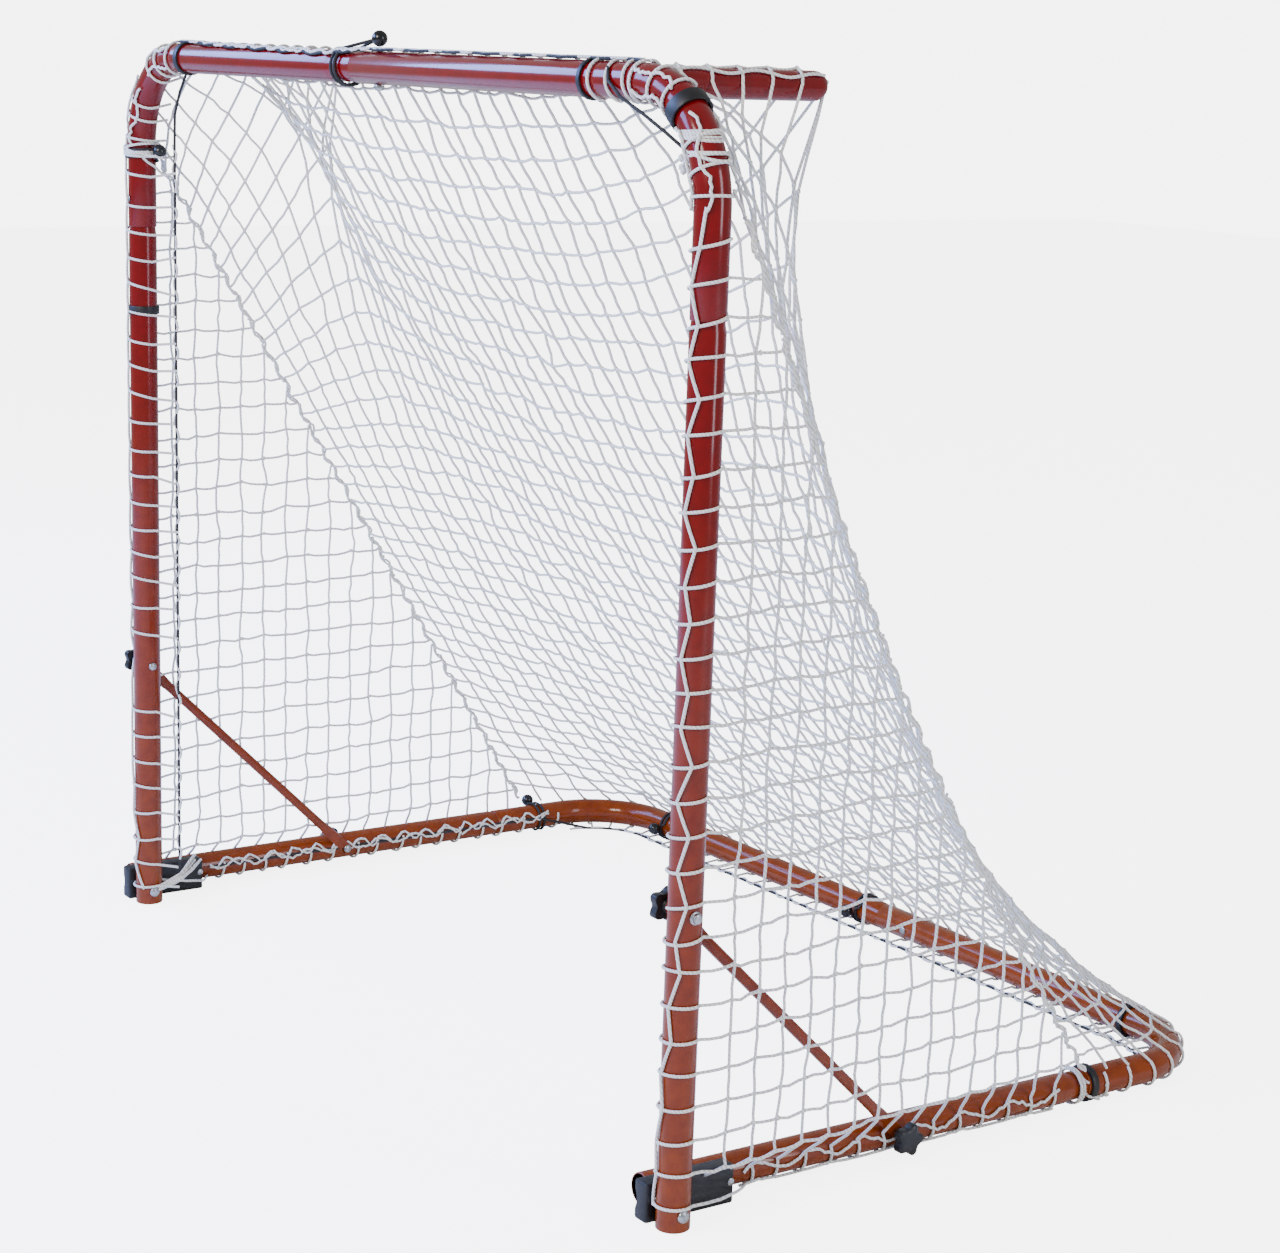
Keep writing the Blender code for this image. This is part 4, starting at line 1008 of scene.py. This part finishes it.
base_laps.append(wavy(line, 0.0040, MESH, (0, 0.9, 0.20)))
ys = np.arange(0.115, DEPTH - BEND - 0.03, 0.006)
centres = [at(base_x(-1), y, BASE_Z) for y in ys]
for angle, swing, wave in ((-198, 0.0055, MESH), (-190, 0.0045, MESH * 1.6)):
    base_laps.append(along_tube(centres, [(-1, 0, 0)] * len(ys), [DOWN] * len(ys), angle, swing, wave))

# %% [markdown]
# The base lacing cord runs along the left tube's inner face, drops to the floor at the rear bend and goes
# round to the right pivot block.

# %% Lace the base
rise, out = math.radians(8), R + 0.0022
cord_x, cord_z = base_x(-1) + out * math.cos(rise), BASE_Z + out * math.sin(rise)
cord_path = [at(cord_x, y, cord_z) for y in np.arange(0.115, DEPTH - BEND - 0.05, 0.02)]
cord_path.append(at(cord_x + 0.006, DEPTH - BEND, 0.012))
bend_centre = at(base_x(-1) + BEND, DEPTH - BEND, 0.0045)
cord_path += turn(bend_centre, (-1, 0, 0), (0, 1, 0), BEND - BASE_LACE, 22, 90, 14)
bend_centre = at(base_x(1) - BEND, DEPTH - BEND, 0.0045)
cord_path += turn(bend_centre, (1, 0, 0), (0, 1, 0), BEND - BASE_LACE, 90, 0, 18)
cord_path.append(at(base_x(1) - BASE_LACE, 0.13, 0.0045))
cord = draw("base_lacing", [np.array(cord_path)], radius=0.0020)
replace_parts(dress(cord, "elastic_cord", "base"), "base_lacing_cord")
piece = draw("base_laps", base_laps)
dress(piece, "net", "base")
print("base:", len(base_laps), "laps")

# %% [markdown]
# ## Gathers
#
# The net is bunched where a tie or a clip holds it: round the top of the left post, under the right corner
# clip, at the left foot and beside the right side clip. Each gather is a few loose turns with tails.


# %% A gather of twine
def gather(centre, axis, out, turns, spread, radius, tails, tail_to):
    """Loose turns of twine round a tube and a few tails that run off towards tail_to."""
    axis, out = np.array(axis, float), np.array(out, float)
    axis /= np.linalg.norm(axis)
    third = np.cross(axis, out)
    bunch = []
    for _turn in range(turns):
        tilt = rng.normal(0, 0.004)
        shift = rng.normal(0, spread)
        ring = []
        for a in np.linspace(0, 2 * math.pi, 20):
            r = radius + abs(rng.normal(0, 0.0006))
            spoke = out * math.cos(a) + third * math.sin(a)
            ring.append(centre + axis * (shift + tilt * math.cos(a)) + r * spoke)
        bunch.append(np.array(ring))
    for _tail in range(tails):
        a = rng.uniform(-0.8, 0.8)
        start = centre + axis * rng.normal(0, spread) + radius * (out * math.cos(a) + third * math.sin(a))
        end = np.array(tail_to) + rng.normal(0, 0.010, 3)
        bunch.append(strand([start, (start + end) / 2 + rng.normal(0, 0.003, 3), end]))
    return bunch


# %% [markdown]
# The first gather is at the left post's ball tie, the next two are below the right corner clip, and the
# last ones are at the left foot and beside the right side clip.

# %% Place the gathers
front_gathers = gather(at(-W, 0, 1.071), UP, (1, 0, 0), 5, 0.005, HUG + 0.002, 3,
                       at(-W + 0.030, 0.034, 1.060))
a = math.radians(36)
spot = at(W - BEND + BEND * math.cos(a), 0, BAR_Z - BEND + BEND * math.sin(a))
down_bend = (-math.sin(a), 0, math.cos(a))
front_gathers += gather(spot, down_bend, (-1, 0, 0), 4, 0.006, HUG + 0.001, 6, at(W - 0.048, 0.034, 1.110))
front_gathers += gather(spot + np.array((0.012, 0, -0.016)), down_bend, (-1, 0, 0), 3, 0.004, HUG + 0.001, 5,
                        at(W - 0.050, 0.006, 1.120))
knots = [at(W - 0.048, 0.034, 1.110) + rng.normal(0, 0.004, 3) for _k in range(8)]
knots += [at(W - 0.052, 0.002, 1.122) + rng.normal(0, 0.004, 3) for _k in range(8)]
piece = draw("front_gathers", front_gathers, knots=knots, knot_size=0.0042)
dress(piece, "net", "front_frame")
foot_gather = []
for _k in range(6):
    start = at(-W + R + 0.004, 0.006, 0.026) + rng.normal(0, 0.003, 3)
    end = at(-W + 0.010, 0.072, 0.058) + rng.normal(0, 0.005, 3)
    foot_gather.append(strand([start, (start + end) / 2 + np.array((0.010, 0, -0.003)), end]))
foot_gather += gather(at(base_x(1), 0.632, BASE_Z), (0, 1, 0), (1, 0, 0), 3, 0.006, HUG, 5,
                      at(base_x(1) + 0.012, 0.668, 0.010))
piece = draw("base_gathers", foot_gather)
dress(piece, "net", "base")
print("gathers tied")

# %% [markdown]
# ## Floor, light and camera
#
# The backdrop is white because the floor and the sky are brightened for the camera's own rays only. To
# every other ray they are plain and dimmer, so the white net keeps its shading. A warm key light stands in
# front and a little to the right, a weaker one fills from far out on the right, and a large cool strip,
# high in front on the left, lays the long blue highlight on the crossbar.

# %% Set the floor and lights
floor_mesh = bpy.data.meshes.new("floor")
bm = bmesh.new()
bmesh.ops.create_grid(bm, x_segments=1, y_segments=1, size=14.0)
bm.to_mesh(floor_mesh)
bm.free()
floor = link("floor", floor_mesh)
floor.location = (0, 0, -0.0006)
mat, shader, place = new_material("pale studio floor")
grain = node(mat, "ShaderNodeTexNoise", Vector=place, Scale=14.0, Detail=4.0).outputs["Fac"]
seen = mat.node_tree.nodes.new("ShaderNodeLightPath").outputs["Is Camera Ray"]
set_inputs(mat, shader, Base_Color=mix(mat, grain, linear("#f4f4f3"), linear("#f8f8f7")), Roughness=0.8,
           Emission_Color=linear("#ffffff"), Emission_Strength=ramp(mat, seen, 0.0, 1.0, 0.0, 5.0))
floor.data.materials.append(mat)
floor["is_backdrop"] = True

world = bpy.data.worlds.new("studio")
bpy.context.scene.world = world
world.use_nodes = True
sky = world.node_tree.nodes["Background"]
sky.inputs["Color"].default_value = linear("#ffffff")
seen = world.node_tree.nodes.new("ShaderNodeLightPath").outputs["Is Camera Ray"]
level_out = world.node_tree.nodes.new("ShaderNodeMapRange")
level_out.inputs["To Min"].default_value = 0.50
level_out.inputs["To Max"].default_value = 6.0
world.node_tree.links.new(seen, level_out.inputs["Value"])
world.node_tree.links.new(level_out.outputs["Result"], sky.inputs["Strength"])


def area_light(name, place, target, width, height, power, colour):
    """A rectangular light at place that faces target; it is marked as part of the backdrop."""
    data = bpy.data.lights.new(name, "AREA")
    data.shape = "RECTANGLE"
    data.size, data.size_y = width, height
    data.energy = power
    data.color = linear(colour)[:3]
    lamp = link(name, data)
    lamp.location = place
    lamp.rotation_mode = "QUATERNION"
    lamp.rotation_quaternion = (Vector(place) - Vector(target)).to_track_quat("Z", "Y")
    lamp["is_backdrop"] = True


area_light("key", (1.2, -3.6, 2.8), (0, 0, 0.5), 1.4, 1.4, 120, "#fff6ee")
area_light("fill", (4.4, 1.2, 1.8), (0, 0, 0.5), 1.0, 2.4, 70, "#eef2ff")
area_light("strip", (-2.7, -3.0, 2.7), (-0.1, -0.4, 1.2), 4.6, 1.6, 430, "#86abff")

# %% [markdown]
# The camera stands in front and to the right, level with the crossbar, with a long lens. Its turn, height
# and roll are set as angles.

# %% Set the camera
turned, raised, rolled_by = (math.radians(a) for a in (55.276, 14.169, 1.958))
level_reach = math.cos(raised)
forward = Vector((-math.sin(turned) * level_reach, math.cos(turned) * level_reach, -math.sin(raised)))
level_right = forward.cross(Vector(UP)).normalized()
level_up = level_right.cross(forward)
right = math.cos(rolled_by) * level_right + math.sin(rolled_by) * level_up
up = right.cross(forward)
lens = bpy.data.cameras.new("camera")
lens.sensor_width = 36
lens.lens = 77.99
lens.shift_x = 0.0061
lens.shift_y = 0.0954
camera = link("camera", lens)
camera.rotation_mode = "QUATERNION"
camera.rotation_quaternion = Matrix((right, up, -forward)).transposed().to_quaternion()
camera.location = at(2.9153, -1.6327, 1.2325)
bpy.context.scene.camera = camera

# %% [markdown]
# The box of the dressed part should be nearly as large as the box of the imported one. Both are printed.

# %% Print the sizes
size_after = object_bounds()
sizes = {"before": [list(c) for c in size_before], "after": [list(c) for c in size_after]}
print("bounds before", sizes["before"], "after", sizes["after"])
